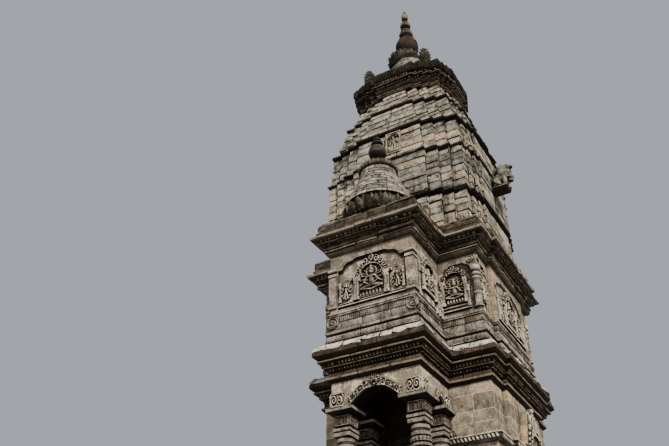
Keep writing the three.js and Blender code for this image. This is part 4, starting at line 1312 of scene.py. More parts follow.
BASE_CORE = [(0.0, 0.0), (0.01, 0.002), (0.01, 0.64), (0.0, 0.645)]
BASE_BRIGHT = [
    ([(-0.05, 0.002), (0.035, 0.004, 0, 0.5), (0.046, 0.01, 1), (0.05, 0.03, 1), (0.044, 0.05, 1),
      (0.03, 0.056, 0.2), (-0.05, 0.058)], 0.6),
    ([(-0.05, 0.054, 0, 0.8), (0.05, 0.058, 0, 0.4), (0.062, 0.07, 0.5), (0.066, 0.12, 0.4),
      (0.062, 0.176, 0.5), (0.05, 0.188, 0, 0.3), (-0.05, 0.19)], 0.5),
    ([(-0.05, 0.272, 0, 1), (0.02, 0.274, 0, 0.8), (0.026, 0.282, 0.4), (0.026, 0.424, 0.4),
      (0.02, 0.434, 0, 0.5), (-0.05, 0.436)], 0.5),
    ([(-0.05, 0.602, 0, 1), (0.03, 0.604, 0, 0.6), (0.044, 0.61, 0.6), (0.044, 0.636, 0.9),
      (0.034, 0.646, 0.6), (-0.05, 0.648)], 0.6),
]
BASE_DARK = [
    ([(-0.05, 0.192, 0, 1), (0.06, 0.196, 0, 0.8), (0.085, 0.21, 0, 0.3), (0.09, 0.232, 0.2),
      (0.086, 0.256, 0.2), (0.03, 0.266, 0, 0.7), (-0.05, 0.27)], 0.55),
    ([(-0.05, 0.438, 0, 1), (0.016, 0.44, 0, 0.6), (0.02, 0.446), (0.02, 0.55), (0.016, 0.556, 0, 0.9),
      (-0.05, 0.558)], 0.5),
    ([(-0.05, 0.564, 0, 1), (0.03, 0.568, 0, 0.9), (0.036, 0.572, 0.1), (0.036, 0.598), (-0.05, 0.6)], 0.6),
]


def carve_base_band():
    """Mouldings with a row of lozenges, a lattice of small points and scrolls at the porch's corners."""
    rng = np.random.default_rng(41)
    bright, dark = Carving(), Carving()
    stack(dark, TEMPLE_PLAN, lifted(BASE_CORE, BAND), 0.2)
    lay_bands(bright, TEMPLE_PLAN, BASE_BRIGHT, BAND, rng, uneven=0.002, worn=0.003)
    lay_bands(dark, TEMPLE_PLAN, BASE_DARK, BAND, rng, uneven=0.002, worn=0.003)
    row(bright, TEMPLE_PLAN, 0.062, BAND + 0.12, 0.075, lozenge(0.03, 0.016, 0.045), rng, pale=0.9)
    row(bright, TEMPLE_PLAN, 0.058, BAND + 0.12, 0.0375, bead(0.007, 0.02, 0.03, 5, 2), rng, pale=0.4)
    for lift in (0.458, 0.498, 0.538):
        row(dark, TEMPLE_PLAN, 0.014, BAND + lift, 0.04, lozenge(0.015, 0.024, 0.017), rng, pale=1.0)
    corner_y = PORCH_Y - 0.06
    for turn, distance, place, hand in (
        ("front", PORCH_Y, -0.775, -1.0),
        ("front", PORCH_Y, 0.775, 1.0),
        ("right", PORCH_X, -corner_y, 1.0),
        ("left", PORCH_X, corner_y, 1.0),
    ):
        scroll_boss(bright, turn, distance + 0.03, place, BAND + 0.44, 0.11, hand)
    nodes = ("base_band_body", "base_band_porch")
    make_piece("base band stones", bright, "band stone", nodes)
    make_piece("base band mouldings", dark, "band stone", nodes)


# Upper cornice: [out from the niche storey, height over it, pale, dirt and painted shade]

UPPER_CORE = [(0.0, 0.002), (0.06, 0.06), (0.06, 0.12), (0.1, 0.2), (0.12, 0.28), (0.17, 0.36), (0.17, 0.62),
              (0.06, 0.726)]
UPPER_PALE = [
    ([(-0.05, 0.002), (0.03, 0.004, 0, 0.4), (0.05, 0.012, 0.4), (0.082, 0.058, 0.3), (0.084, 0.07),
      (-0.05, 0.072, 0, 1)], 0.6),
    ([(-0.05, 0.082, 0, 1), (0.06, 0.084, 0, 0.9), (0.09, 0.092, 0.8), (0.09, 0.112, 0.9), (0.07, 0.12),
      (-0.05, 0.122)], 0.6),
    ([(-0.05, 0.254), (0.14, 0.256, 0, 0.9), (0.19, 0.262, 0.6), (0.19, 0.272, 0.8), (0.15, 0.276),
      (-0.05, 0.278)], 0.6),
    ([(-0.05, 0.318), (0.22, 0.32, 0, 0.9), (0.27, 0.33, 0.4), (0.288, 0.344, 0.8), (0.288, 0.392, 1),
      (0.26, 0.404, 0.3), (-0.05, 0.406)], 0.55),
]
UPPER_DARK = [
    ([(-0.05, 0.124, 0, 1), (0.09, 0.126, 0, 0.8), (0.118, 0.138, 0.4), (0.12, 0.182, 0.4),
      (0.1, 0.2, 0, 0.5), (-0.05, 0.202)], 0.5),
    ([(-0.05, 0.408, 0, 1), (0.2, 0.41, 0, 1), (0.206, 0.44), (0.206, 0.5, 0.4), (0.18, 0.51, 0, 0.8),
      (0.176, 0.54), (0.184, 0.56, 0.3), (0.184, 0.64, 0.2), (0.16, 0.65, 0.5), (-0.05, 0.652)], 0.45),
    ([(-0.05, 0.654, 0, 1), (0.15, 0.656, 0, 0.7), (0.172, 0.664, 1), (0.168, 0.69, 1), (0.13, 0.722, 0.8),
      (0.09, 0.728), (-0.05, 0.73)], 0.4),
]


def shifted(rows, out):
    """Profile rows moved outwards."""
    return [(row[0] + out, *row[1:]) for row in rows]


def carve_upper_cornice():
    """Two steps of mouldings with beads and blocks, and lumps of moss along the top."""
    rng = np.random.default_rng(51)
    dark, bright = Carving(), Carving()
    stack(dark, TEMPLE_PLAN, lifted(shifted(UPPER_CORE, STOREY_OUT), FRIEZE), 0.2)
    rough = {"uneven": 0.008, "worn": 0.009, "chips": 0.02, "deepest": 0.03}
    for carving, bands in ((dark, UPPER_DARK), (bright, UPPER_PALE)):
        bands = [(shifted(rows, STOREY_OUT), stone) for rows, stone in bands]
        lay_bands(carving, TEMPLE_PLAN, bands, FRIEZE, rng, **rough)
    moss, beads, blocks = bead(0.05, 0.05, 0.04), bead(0.02, 0.085, 0.022), block(0.03, 0.1, 0.0, 0.042, 0.01)
    row(dark, TEMPLE_PLAN, STOREY_OUT + 0.125, FRIEZE + 0.7, 0.07, moss, rng, pale=0.45, worn=0.7,
        missing=0.35)
    row(bright, TEMPLE_PLAN, 0.11, FRIEZE + 0.228, 0.05, beads, rng, pale=0.8, missing=0.04)
    row(bright, TEMPLE_PLAN, 0.15, FRIEZE + 0.278, 0.086, blocks, rng, pale=0.7, missing=0.05)
    nodes = ("upper_cornice_body", "upper_cornice_porch")
    make_piece("upper cornice stones", dark, "eaves stone", nodes)
    make_piece("upper cornice fillets", bright, "eaves trim", nodes)


# Niches: a carved wall behind pilasters, an arch of flames round a figure

PANEL_LOW, PANEL_HIGH = 7.925, 8.905  # of every carved panel in the niche storey
ARCH_TOP = 8.9
FOOT_FILLET = (7.965, 7.99)  # heights of the lowest fillet of a panel
UPPER_FILLET = (8.02, 8.035)  # and of the one above it, on the porch and the bays
WING_FILLET = (8.04, 8.06)
GROUND = 0.3  # how far a niche's plain ground stands out, as a share of its relief
BAY_NICHE = {"foot": 8.03, "top": ARCH_TOP, "opening": 0.228, "deity_size": 0.6}
BAY_HOLLOW = (8.03, 8.467, 0.225)  # foot, spring and half width of its dark part


def flame_arch(u, v, x, spring, inner, outer, tip, lumps, spread=0.5):
    """A band round a half circle, one curled scroll after another, its middle drawn up into a point."""
    a, b = u - x, v - spring
    angle = np.arctan2(a, b)
    reach = np.hypot(a, b)
    point = np.exp(-((angle / spread) ** 2))
    cell = math.pi / lumps
    p = (angle / cell - np.round(angle / cell)) * 2
    edge = outer + (tip - outer) * point - 0.16 * (outer - inner) * p**2
    share = (reach - inner) / np.maximum(edge - inner, 1e-3)
    inside = (share > 0) & (share < 1) & (np.abs(angle) < math.pi / 2 + 0.3)
    q = share * 2.4 - 1.4
    wind = 1.25 * np.hypot(p, q) - np.where(angle > 0, 1, -1) * np.arctan2(q, p) / (2 * math.pi)
    fading = (np.hypot(p, q) < 1.12) * (0.6 + 0.4 * smooth(share, 1.05, 0.6))
    curl = smooth(np.cos(2 * math.pi * wind), -0.35, 0.35) * fading
    rim = 0.95 * smooth(np.abs(share - 0.08), 0.1, 0.05)
    return np.where(inside, np.maximum(0.1, np.maximum(curl, rim)), 0)


def pilaster(u, v, x, foot, top, half, rise=1.0):
    """A square shaft with a moulded foot and head."""
    inside = np.abs(u - x)
    share = (v - foot) / (top - foot)
    neck = between(share, 0.2, 0.26) | between(share, 0.74, 0.8)
    wide = half * (0.78 + 0.3 * ((share < 0.14) | (share > 0.86)) + 0.14 * neck)
    grooves = 1 - 0.25 * between(share, 0.3, 0.7) * (np.abs(inside / half - 0.35) < 0.14)
    return rise * smooth(inside, wide, wide * 0.75) * between(share, 0, 1) * grooves


def side_figure(u, v, x, foot, top, half, hand):
    """A standing figure in an oval wreath of leaves."""
    tall = (top - foot) / 2
    middle = foot + tall
    p, q = (u - x) / half, (v - middle) / tall
    out = np.hypot(p, q)
    wreath = smooth(np.cos(np.arctan2(p, q) * 12 + out * 6), -0.4, 0.3) * between(out, 0.72, 1.0) * 0.85
    back = 0.1 + 0.3 * foliage(u, v, half * 0.42) * (out < 0.72)
    figure = standing_attendant(u, v, x, foot + 0.01, 1.84 * tall, hand)
    return np.where(out < 1, highest(wreath, back, figure), 0)


def in_niche(u, v, x, foot, spring, opening):
    """Whether a place lies in a niche: a doorway shape with a round head."""
    return (np.hypot(u - x, np.maximum(v - spring, 0)) < opening) & (v > foot)


# The stepped arch of a recessed panel: shares of its half width, and how far it has come down there

PANEL_HEAD = ((0, 0.42, 0.55, 0.663, 0.7525, 0.818, 0.86, 1), (0, 0, 0.04, 0.049, 0.0775, 0.124, 0.19, 0.19))


def under_head(u, v, x, half):
    """How deep in the shade of its stepped arch a place in a recessed panel lies, 0 to 1."""
    edge = FRIEZE - 0.14 - np.interp(np.abs(u - x) / half, *PANEL_HEAD)
    return smooth(edge - v, 0.12, 0.05)


def niche(u, v, x, foot, top, opening, deity_size):
    """The whole carving in the middle of a panel."""
    spring = top - opening * 1.9
    high = flame_arch(u, v, x, spring, opening, opening * 1.55, opening * 1.95, 9)
    high = np.maximum(high * (v > spring - opening * 0.35), GROUND)
    inside = in_niche(u, v, x, foot, spring, opening)
    high = np.where(inside, seated_deity(u, v, x, foot + 0.015, deity_size), high)
    for side in (-1, 1):
        post = pilaster(u, v, x + side * opening * 1.32, foot, spring + 0.02, opening * 0.27, 1.1)
        tail = scroll(u, v, x + side * opening * 1.62, spring + opening * 0.02, opening * 0.27, -side, 1.6,
                      1.0)
        high = highest(high, post, tail)
    return high


def broad_panel(u, v, figure, curl, post):
    """A niche between two attendants, a scroll over each of them, and two pilasters. Each is given by
    its place on the right half: figure and post as x, foot, top and half width, curl as its rise, x,
    height and radius."""
    high = niche(u, v, 0, **BAY_NICHE)
    for side in (-1, 1):
        high = highest(
            high,
            side_figure(u, v, side * figure[0], *figure[1:], side),
            curl[0] * scroll(u, v, side * curl[1], *curl[2:], side),
            pilaster(u, v, side * post[0], *post[1:]),
        )
    return high


def fillets(v, upper):
    """The two fillets along the foot of a panel."""
    return 0.9 * between(v, *FOOT_FILLET) + 0.7 * between(v, *upper)


def carve_niches(sizes):
    """The reliefs of the niche storey: over the porch, on the wings and on the bays."""
    for name, carve in (("porch", porch_niches), ("wing", wing_niches), ("bay", bay_niches)):
        stones = Carving()
        carve(stones, sizes.relief)
        make_piece(name + " niche carvings", stones, "carved stone")


def porch_niches(stones, rise):
    """The broad panel over the porch's front, a niche on either side and three slim posts beside it."""
    u, v = plane_grid(-0.665, 0.665, PANEL_LOW, PANEL_HIGH, 0.0078)
    high = broad_panel(u, v, (0.508, 8.085, 8.415, 0.1), (0.5, 0.5, 8.52, 0.075), (0.635, 8.05, 8.46, 0.03))
    teeth = smooth(np.sin(u * 2 * math.pi / 0.045), -0.3, 0.5) * between(v, FOOT_FILLET[1], UPPER_FILLET[0])
    high = highest(high, fillets(v, UPPER_FILLET), 0.55 * teeth)
    # Painted shade in the niche's opening and under the panel's stepped arch.
    gloom = highest(0.75 * in_niche(u, v, 0, *BAY_HOLLOW), 0.95 * under_head(u, v, 0, PORCH_X - 0.13))
    relief(stones, "front", PORCH_Y - 0.04, u, v, high * rise, 0.012, 0.6, 0.02, gloom)
    for turn, sign in (("right", 1), ("left", -1)):
        u, v = plane_grid(-2.42, -1.62, PANEL_LOW, PANEL_HIGH, 0.0098 * GRAIN[turn])
        high = niche(u, v, -2.03, 8.05, 8.86, 0.2, 0.52)
        high = highest(high, *(scroll(u, v, y, 8.42, 0.055, 1, 1.8, 0.9) for y in (-1.69, -2.36)))
        relief(stones, turn, PORCH_X + STOREY_OUT, sign * u, v, high * rise, 0.05, 0.6, 0.02)
        posts = [(radius, z, 1.0, 0.2) for radius, z, *_ in column_rows(7.86, 8.36, 0.036)]
        for y in (-1.7, -1.575, -1.45):
            turned(stones, posts, (sign * (PORCH_X + 0.035), y), 14, None, 0.9)


def wing_niches(stones, rise):
    """Left and right of the porch on the front of the body, and the back's two wings."""
    for x, turn, half in ((-1.12, "front", 0.305), (1.12, "front", 0.305), (-1.28, "back", 0.225),
                          (1.28, "back", 0.225)):
        front, side = turn == "front", math.copysign(1, x)
        u, v = plane_grid(x - half, x + half, PANEL_LOW, PANEL_HIGH, 0.0086 * GRAIN[turn])
        # Painted shade under the panel's stepped arch, and in front niches in their opening.
        gloom = 0.9 * under_head(u, v, x, half)
        if front:
            post = pilaster(u, v, x + side * 0.27, 8.0, 8.43, 0.035, 1.1)
            high = highest(niche(u, v, x, 8.09, ARCH_TOP, 0.17, 0.5), post)
            gloom = highest(gloom, 0.4 * in_niche(u, v, x, 8.09, 8.577, 0.165))
        else:
            arch = flame_arch(u, v, x, 8.5, 0.15, 0.21, 0.3, 9) * (v > 8.45)
            high = highest(side_figure(u, v, x, 8.08, 8.62, 0.15, side), arch)
        high = highest(high, fillets(v, WING_FILLET))
        relief(stones, turn, WALL_Y + STOREY_OUT - 0.04, u, v, high * rise, 0.012, 0.6, 0.02, gloom)
    for side in (-1, 1):
        scroll_boss(stones, "front", WALL_Y + STOREY_OUT, side * 1.5, 8.96, 0.08, side)
        scroll_boss(stones, "right" if side > 0 else "left", WALL_X + STOREY_OUT, -side * 1.36, 8.98, 0.07,
                    side)


def bay_niches(stones, rise):
    """On the bays of the right, left and back walls, and on the narrow wings of the first two."""
    wing, wing_half = 1.158, 0.197
    for turn, face, half in (("right", WALL_X, 0.76), ("left", WALL_X, 0.76), ("back", WALL_Y, 0.855)):
        step = 0.0105 * GRAIN[turn]
        u, v = plane_grid(-half, half, PANEL_LOW, PANEL_HIGH, step)
        high = broad_panel(u, v, (0.56, 8.085, 8.45, 0.11), (0.7, 0.56, 8.55, 0.08), (0.71, 7.98, 8.5, 0.035))
        # Painted shade in the niche's opening and under the panel's stepped arch.
        gloom = highest(0.5 * in_niche(u, v, 0, *BAY_HOLLOW), 0.9 * under_head(u, v, 0, half))
        high = highest(high, fillets(v, UPPER_FILLET))
        relief(stones, turn, face + 0.06, u, v, high * rise, 0.012, 0.6, 0.02, gloom)
        for side in (-1, 1) if turn != "back" else ():
            x = side * wing
            u, v = plane_grid(x - wing_half, x + wing_half, PANEL_LOW, PANEL_HIGH, step)
            arch = flame_arch(u, v, x, 8.58, 0.13, 0.185, 0.26, 9) * (v > 8.5)
            high = highest(side_figure(u, v, x, 8.1, 8.7, 0.13, side), arch)
            relief(stones, turn, face - 0.02, u, v, high * rise, 0.012, 0.6, 0.026)


PIER = [
    (-0.02, 7.95), (0.005, 7.953), (0.012, 7.97, 0.4), (0.012, 8.0, 0.4), (-0.01, 8.02, 0, 0.4),
    (-0.006, 8.06), (-0.006, 8.56, 0.3), (-0.01, 8.6, 0, 0.5),
    (0.008, 8.62, 0.5), (0.008, 8.66, 0.5), (-0.012, 8.69, 0, 0.6), (0.016, 8.72, 0.6), (0.02, 8.76, 0.8),
    (-0.01, 8.79), (-0.03, 8.8),
]


def corner_piers():
    """Square piers at the porch storey's front corners and round columns at the body's."""
    rng = np.random.default_rng(61)
    stones = Carving()
    for side in (-1, 1):
        x, y = side * (PORCH_X - 0.035), -PORCH_Y + 0.035
        stack(stones, square(x, y, 0.078), PIER, rng.random())
        flank = "right" if side > 0 else "left"
        for turn, place, distance in (("front", x, -y), (flank, side * y, side * x)):
            u, v = plane_grid(place - 0.075, place + 0.075, 8.0, 8.62, 0.008)
            a = np.abs(u - place)
            high = highest(
                0.9 * side_figure(u, v, place, 8.02, 8.2, 0.05, side),
                0.5 * foliage(u - place, v, 0.05) * (a < 0.055) * between(v, 8.24, 8.56),
                0.6 * ((a > 0.062) & between(v, 8.22, 8.58)),
            )
            relief(stones, turn, distance + 0.07, u, v, high * 0.016, 0.01, 0.6, 0.016)
        for y in (-WALL_Y + 0.02, WALL_Y - 0.02):
            place = (side * (WALL_X - 0.03), y)
            turned(stones, column_rows(7.95, 8.8, 0.07), place, 48, fluting(0.05, 12, -1, 0.62), rng.random())
    make_piece("storey piers", stones, "carved stone")


# A small round column: [share of its radius, share of its height, pale, dirt and painted shade]
SMALL_COLUMN = [
    (1.15, 0.0), (1.2, 0.03, 0.4), (1.0, 0.06, 0, 0.6), (0.9, 0.08), (0.9, 0.3, 0.3), (1.08, 0.32, 0.6),
    (1.08, 0.35, 0.6), (0.9, 0.37, 0, 0.7), (0.9, 0.66, 0.3),
    (1.1, 0.68, 0.6), (1.1, 0.72, 0.6), (0.88, 0.74, 0, 0.8), (1.15, 0.78, 0.7), (1.15, 0.82, 0.6),
    (0.9, 0.84, 0, 0.8), (1.25, 0.9, 0.7), (1.4, 0.97, 0.7), (1.2, 1.0),
]


def column_rows(low, high, radius):
    """The profile of a small round column between two heights."""
    return [(radius * out, low + (high - low) * up, *rest) for out, up, *rest in SMALL_COLUMN]


FRONT_COLUMNS_Y, REAR_COLUMNS_Y, COLUMN_X = -2.37, -1.6, 0.665
COLUMN_HEIGHTS = [  # radius, height over the floor, pale, dirt and painted shade
    (0.148, 0.64, 0, 0.8), (0.158, 0.66, 0.4), (0.158, 0.72, 0.3), (0.138, 0.735, 0, 0.8), (0.134, 0.8, 0.1),
    (0.134, 0.93, 0.1), (0.152, 0.95, 0.6), (0.152, 1.0, 0.6), (0.136, 1.015, 0, 0.8),
    (0.132, 1.2, 0.1), (0.15, 1.22, 0.5), (0.15, 1.28, 0.5), (0.136, 1.3, 0, 0.8), (0.138, 1.45),
    (0.155, 1.47, 0.5), (0.155, 1.53, 0.5), (0.138, 1.55, 0, 0.8), (0.138, 1.63),
    (0.16, 1.65, 0.5), (0.16, 1.69, 0.5), (0.138, 1.7, 0, 0.9), (0.166, 1.72, 0.4), (0.17, 1.75, 0.5),
    (0.164, 1.785, 0.3), (0.134, 1.795, 0, 0.9), (0.134, 1.815, 0, 0.5),
    (0.154, 1.82, 0.5), (0.154, 1.872, 0.6), (0.136, 1.885, 0, 0.9), (0.136, 1.915, 0, 0.5),
    (0.149, 1.925, 0.6), (0.149, 1.978, 0.6), (0.13, 1.985, 0, 0.9), (0.13, 2.0),
]
COLUMN_HALF = 0.135  # half width of a column's square blocks
COLUMN_FOOT = [
    (-0.03, 0.0), (0.028, 0.003, 0, 0.3), (0.034, 0.02, 0.3), (0.034, 0.11, 0.5), (0.0, 0.15, 0.2),
    (-0.008, 0.165, 0, 0.8), (-0.004, 0.18), (-0.004, 0.54, 0.3),
    (-0.008, 0.555, 0, 0.6), (0.016, 0.575, 0.5), (0.02, 0.63, 0.5), (-0.02, 0.645), (-0.03, 0.65),
]
COLUMN_HEAD = [
    (-0.02, 2.0), (0.012, 2.01, 0, 0.5), (0.016, 2.02, 0.6), (0.016, 2.075, 0.7), (0.0, 2.085, 0, 0.9),
    (0.012, 2.095, 0.3), (0.024, 2.1, 0.6), (0.024, 2.145, 0.7),
    (-0.02, 2.155, 0, 0.9), (-0.03, 2.165, 0, 0.9), (-0.012, 2.18, 0.4), (0.004, 2.21, 0.3),
    (0.004, 2.33, 0.3), (-0.01, 2.37, 0.5), (-0.04, 2.385, 0, 0.7),
    (0.08, 2.405, 0, 0.5), (0.113, 2.42, 0.6), (0.113, 2.47, 0.8), (0.05, 2.474),
]
COLUMN_PANELS = ((0.2, 0.52, 0.11), (2.19, 2.35, 0.125))  # foot and top over the floor, half width
COLUMN_BEADS = ((1.755, 0.162), (0.69, 0.152), (1.5, 0.15))  # height over the floor, radius


def raise_columns():
    """Four columns, each with carved square blocks at foot and head and a ringed round shaft between."""
    rng = np.random.default_rng(71)
    stones = Carving()
    for x in (-COLUMN_X, COLUMN_X):
        for y in (FRONT_COLUMNS_Y, REAR_COLUMNS_Y):
            plan = square(x, y, COLUMN_HALF)
            stack(stones, plan, lifted(COLUMN_FOOT, FLOOR), rng.random())
            turned(stones, lifted(COLUMN_HEIGHTS, FLOOR), (x, y), 64, fluting(0.03, 16, 0.4, 0.75),
                   rng.random())
            stack(stones, plan, lifted(COLUMN_HEAD, FLOOR), rng.random())
            for turn, place, distance in (("front", x, -y), ("right", y, x), ("left", -y, -x),
                                          ("back", -x, y)):
                for low, high, size in COLUMN_PANELS:
                    u, v = plane_grid(place - size, place + size, FLOOR + low, FLOOR + high,
                                      0.0095 * GRAIN[turn])
                    a, b = u - place, v - (FLOOR + (low + high) / 2)
                    frame_on = (np.abs(a) > size * 0.86) | (np.abs(b) > (high - low) * 0.44)
                    carved = 0.9 * highest(foliage(a, b, size * 0.62), frame_on)
                    # A little painted shade over the whole carved block.
                    relief(stones, turn, distance + 0.137, u, v, carved * 0.022, 0.01, 0.6, 0.014, 0.2)
            teeth = block(0.011, 0.014, 0.0, 0.044, 0.004)
            row(stones, square(x, y, 0.15), -0.002, FLOOR + 2.1, 0.036, teeth, rng, pale=1.4, least=2)
            for height, radius in COLUMN_BEADS:
                beads = bead(0.02, 0.022, 0.026, 6, 2)
                ring_of(stones, (x, y), radius, FLOOR + height, 18, beads, rng, pale=0.8)
    nodes = ("front_column_left", "front_column_right", "rear_column_left", "rear_column_right")
    make_piece("porch columns", stones, "column stone", nodes)


def ring_of(carving, centre, radius, z, count, unit, rng, turn=0.0, pale=0.4, uneven=0.05):
    """One shape repeated round an axis."""
    shape, faces = unit
    angle = turn + 2 * math.pi * np.arange(count)[:, None] / count
    size = 1 - uneven * rng.random((count, 1))
    reach = radius + shape[None, :, 1] * size
    aside = shape[None, :, 0] * size
    x = centre[0] + np.cos(angle) * reach - np.sin(angle) * aside
    y = centre[1] + np.sin(angle) * reach + np.cos(angle) * aside
    points = np.stack([x, y, z + shape[None, :, 2] * size], -1)
    lift = np.clip(shape[:, 2] / max(shape[:, 2].max(), 1e-6), 0, 1)[None]
    one = np.ones_like(x)
    tones = rng.random((count, 1)) * one
    # The lower part of each shape gets painted shade; its upper part is worn pale.
    carving.add(points, copies(faces, count, len(shape)), tones, pale * lift * one,
                np.clip(0.5 - lift, 0, 1) * one)


def arch_over(a, half, rise):
    """Height of the opening at a from its middle: a curve that leaves the impost at half, climbs
    towards (0.55 half, 0.9 rise) and ends at the crown, as a quadratic in t."""
    t = np.linspace(1, 0, 40)
    return np.interp(a, half * ((1 - t) ** 2 + 1.1 * t * (1 - t)), rise * (1.8 * t * (1 - t) + t**2),
                     right=0.0)


def carve_porch_beams():
    """Leaf brackets along the curve of each beam, scrolls over its ends and a mask over the middle."""
    stones = Carving()
    for turn, distance, ends, middle, half, rise, climb, gap in (
        ("front", PORCH_Y, (-0.812, 0.812), 0.0, 0.44, 0.25, 0.14, 0.13),
        ("right", PORCH_X, (-PORCH_Y, -WALL_Y - 0.002), -1.8625, 0.1825, 0.16, 0.1, 0.03),
        ("left", PORCH_X, (WALL_Y + 0.002, PORCH_Y), 1.8625, 0.1825, 0.16, 0.1, 0.03),
    ):
        u, v = plane_grid(*ends, LINTEL, EAVES - 0.004, 0.0092 * GRAIN[turn])
        a, b, inward = np.abs(u - middle), v - LINTEL, np.minimum(u - ends[0], ends[1] - u)
        arch = arch_over(a, half, rise)
        over = b - arch
        curls = scroll_row(a + 0.4 * over, over - climb / 2, climb * 0.85, climb / 2)
        edge = 0.9 * ((over < 0.016) | (over > climb - 0.014))
        high = np.where(between(a, gap, half + 0.05) & (over < climb), highest(0.08, edge, curls), 0)
        flower = scroll_row(inward, b - 0.118, 0.115, 0.1)
        border = 0.9 * ((b > 0.215) | (b < 0.02) | (inward < 0.012))
        high = np.where((inward < 0.23) & (b < 0.235), highest(0.08, flower, border), high)
        if turn == "front":
            high = np.maximum(high, mask_face(u, b, 0.0, 0.35, 0.085))
        # A little painted shade over what is carved.
        relief_open(stones, turn, distance + 0.004, u, v, high * 0.045, b < arch - 0.004, 0.25 * (high > 0))
    make_piece("porch beam carvings", stones, "beam stone")


def scroll_row(u, v, pitch, half):
    """Spirals side by side, turning to and fro, each filling a cell of the given pitch and half height."""
    cell = np.floor(u / pitch)
    p, q = (u / pitch - cell - 0.5) * 2, v / half
    wind = 1.6 * np.hypot(p, q) - np.where(cell % 2 == 0, 1.0, -1.0) * np.arctan2(q, p) / (2 * math.pi)
    return smooth(np.cos(2 * math.pi * wind), -0.3, 0.3) * (0.7 + 0.3 * smooth(np.hypot(p, q), 1.2, 0.3))


def mask_face(u, v, x, y, size):
    """A broad common guardian mask: brow, eyes, nose, cheeks and a curled mane."""
    a, b = np.abs(u - x) / size, (v - y) / size
    mane = between(np.hypot(a, b), 0.78, 1.12) * 0.75 * smooth(np.cos(np.arctan2(b, a) * 12), -0.2, 0.5)
    return highest(
        0.5 * knob(a, b, 0, 0, 1.05),
        0.9 * limb(a, b, 0.12, 0.42, 0.62, 0.5, 0.14, 1.1),
        knob(a, b, 0.36, 0.2, 0.2),
        1.15 * limb(a, b, 0, 0.25, 0, -0.12, 0.16, 1.0, 0.24),
        knob(a, b, 0.45, -0.2, 0.26),
        0.95 * limb(a, b, 0, -0.5, 0.5, -0.42, 0.13),
        mane,
    )


def carve_door():
    """Leaf scrolls up the jambs, a beaded edge and a figure over the lintel."""
    stones = Carving()
    u, v = plane_grid(-0.486, 0.486, FLOOR + 0.01, FLOOR + 2.19, 0.0095)
    a, b = np.abs(u), v - FLOOR
    top = DOOR_RISE
    crown = top + 0.09 + 0.29 * np.sqrt(np.clip(1 - (a / 0.485) ** 2, 0, 1))
    beads = smooth(np.cos(v * 2 * math.pi / 0.035), 0, 0.6) * (np.abs(a - 0.473) < 0.011) * (b < top + 0.09)
    high = highest(
        0.5 * foliage(u, v, 0.075),
        0.9 * ((np.abs(a - 0.412) < 0.008) & (b < top + 0.012)),
        0.9 * ((np.abs(b - top - 0.01) < 0.01) & (a < 0.42)),
        0.8 * beads,
    )
    deity = seated_deity(u, v, 0, FLOOR + top + 0.03, 0.32)
    high = np.where(b > top + 0.04, np.maximum(high, deity), high) * (b <= crown)
    opening = (a < 0.402) & (b < top)
    relief_open(stones, "front", WALL_Y + 0.066, u, v, high * 0.022, opening | (b > crown))
    make_piece("door carvings", stones, "door stone")


def relief_open(carving, turn, distance, across, up, height, gone, gloom=0.0):
    """A closed relief slab with a part of its grid left out, such as a doorway."""
    along, outward = TURNS[turn]
    local = blurred(height, 7)
    # Painted shade in the hollows of the relief, and over it where gloom is given.
    dirt_and_shade = np.clip((local - height) / 0.02 * 2 + gloom, 0, 1)
    pale = np.clip((height - local) / 0.02 * 1.6, 0, 1)
    flat = along * across[..., None] + UP * up[..., None]
    front = flat + outward * (distance + height)[..., None]
    back = flat + outward * (distance - 0.02 + 0 * height)[..., None]
    rows, columns = height.shape
    index = np.arange(rows * columns).reshape(rows, columns)
    corners = np.stack([index[:-1, :-1], index[:-1, 1:], index[1:, 1:], index[1:, :-1]], -1)
    stays = ~(gone[:-1, :-1] | gone[:-1, 1:] | gone[1:, 1:] | gone[1:, :-1])
    quads = corners[stays]
    behind = quads[:, ::-1] + rows * columns
    edges = np.concatenate([quads[:, [k, (k + 1) % 4]] for k in range(4)])
    keys = edges[:, 0].astype(np.int64) * rows * columns + edges[:, 1]
    others = edges[:, 1].astype(np.int64) * rows * columns + edges[:, 0]
    rim = edges[~np.isin(keys, others)]
    walls = np.stack([rim[:, 1], rim[:, 0], rim[:, 0] + rows * columns, rim[:, 1] + rows * columns], 1)
    used = np.zeros(2 * rows * columns, bool)
    faces = [quads, behind, walls]
    for group in faces:
        used[group.ravel()] = True
    renumber = np.cumsum(used) - 1
    points = np.concatenate([front.reshape(-1, 3), back.reshape(-1, 3)])[used]
    values = [np.concatenate([w.ravel(), w.ravel()])[used] for w in (pale, dirt_and_shade)]
    carving.add(points, [renumber[f] for f in faces], 0.55, *values)


# The turret over the porch

TURRET = (0.0, -2.11)

# Profiles of the turret over the upper cornice: [out, height, pale, dirt and painted shade]

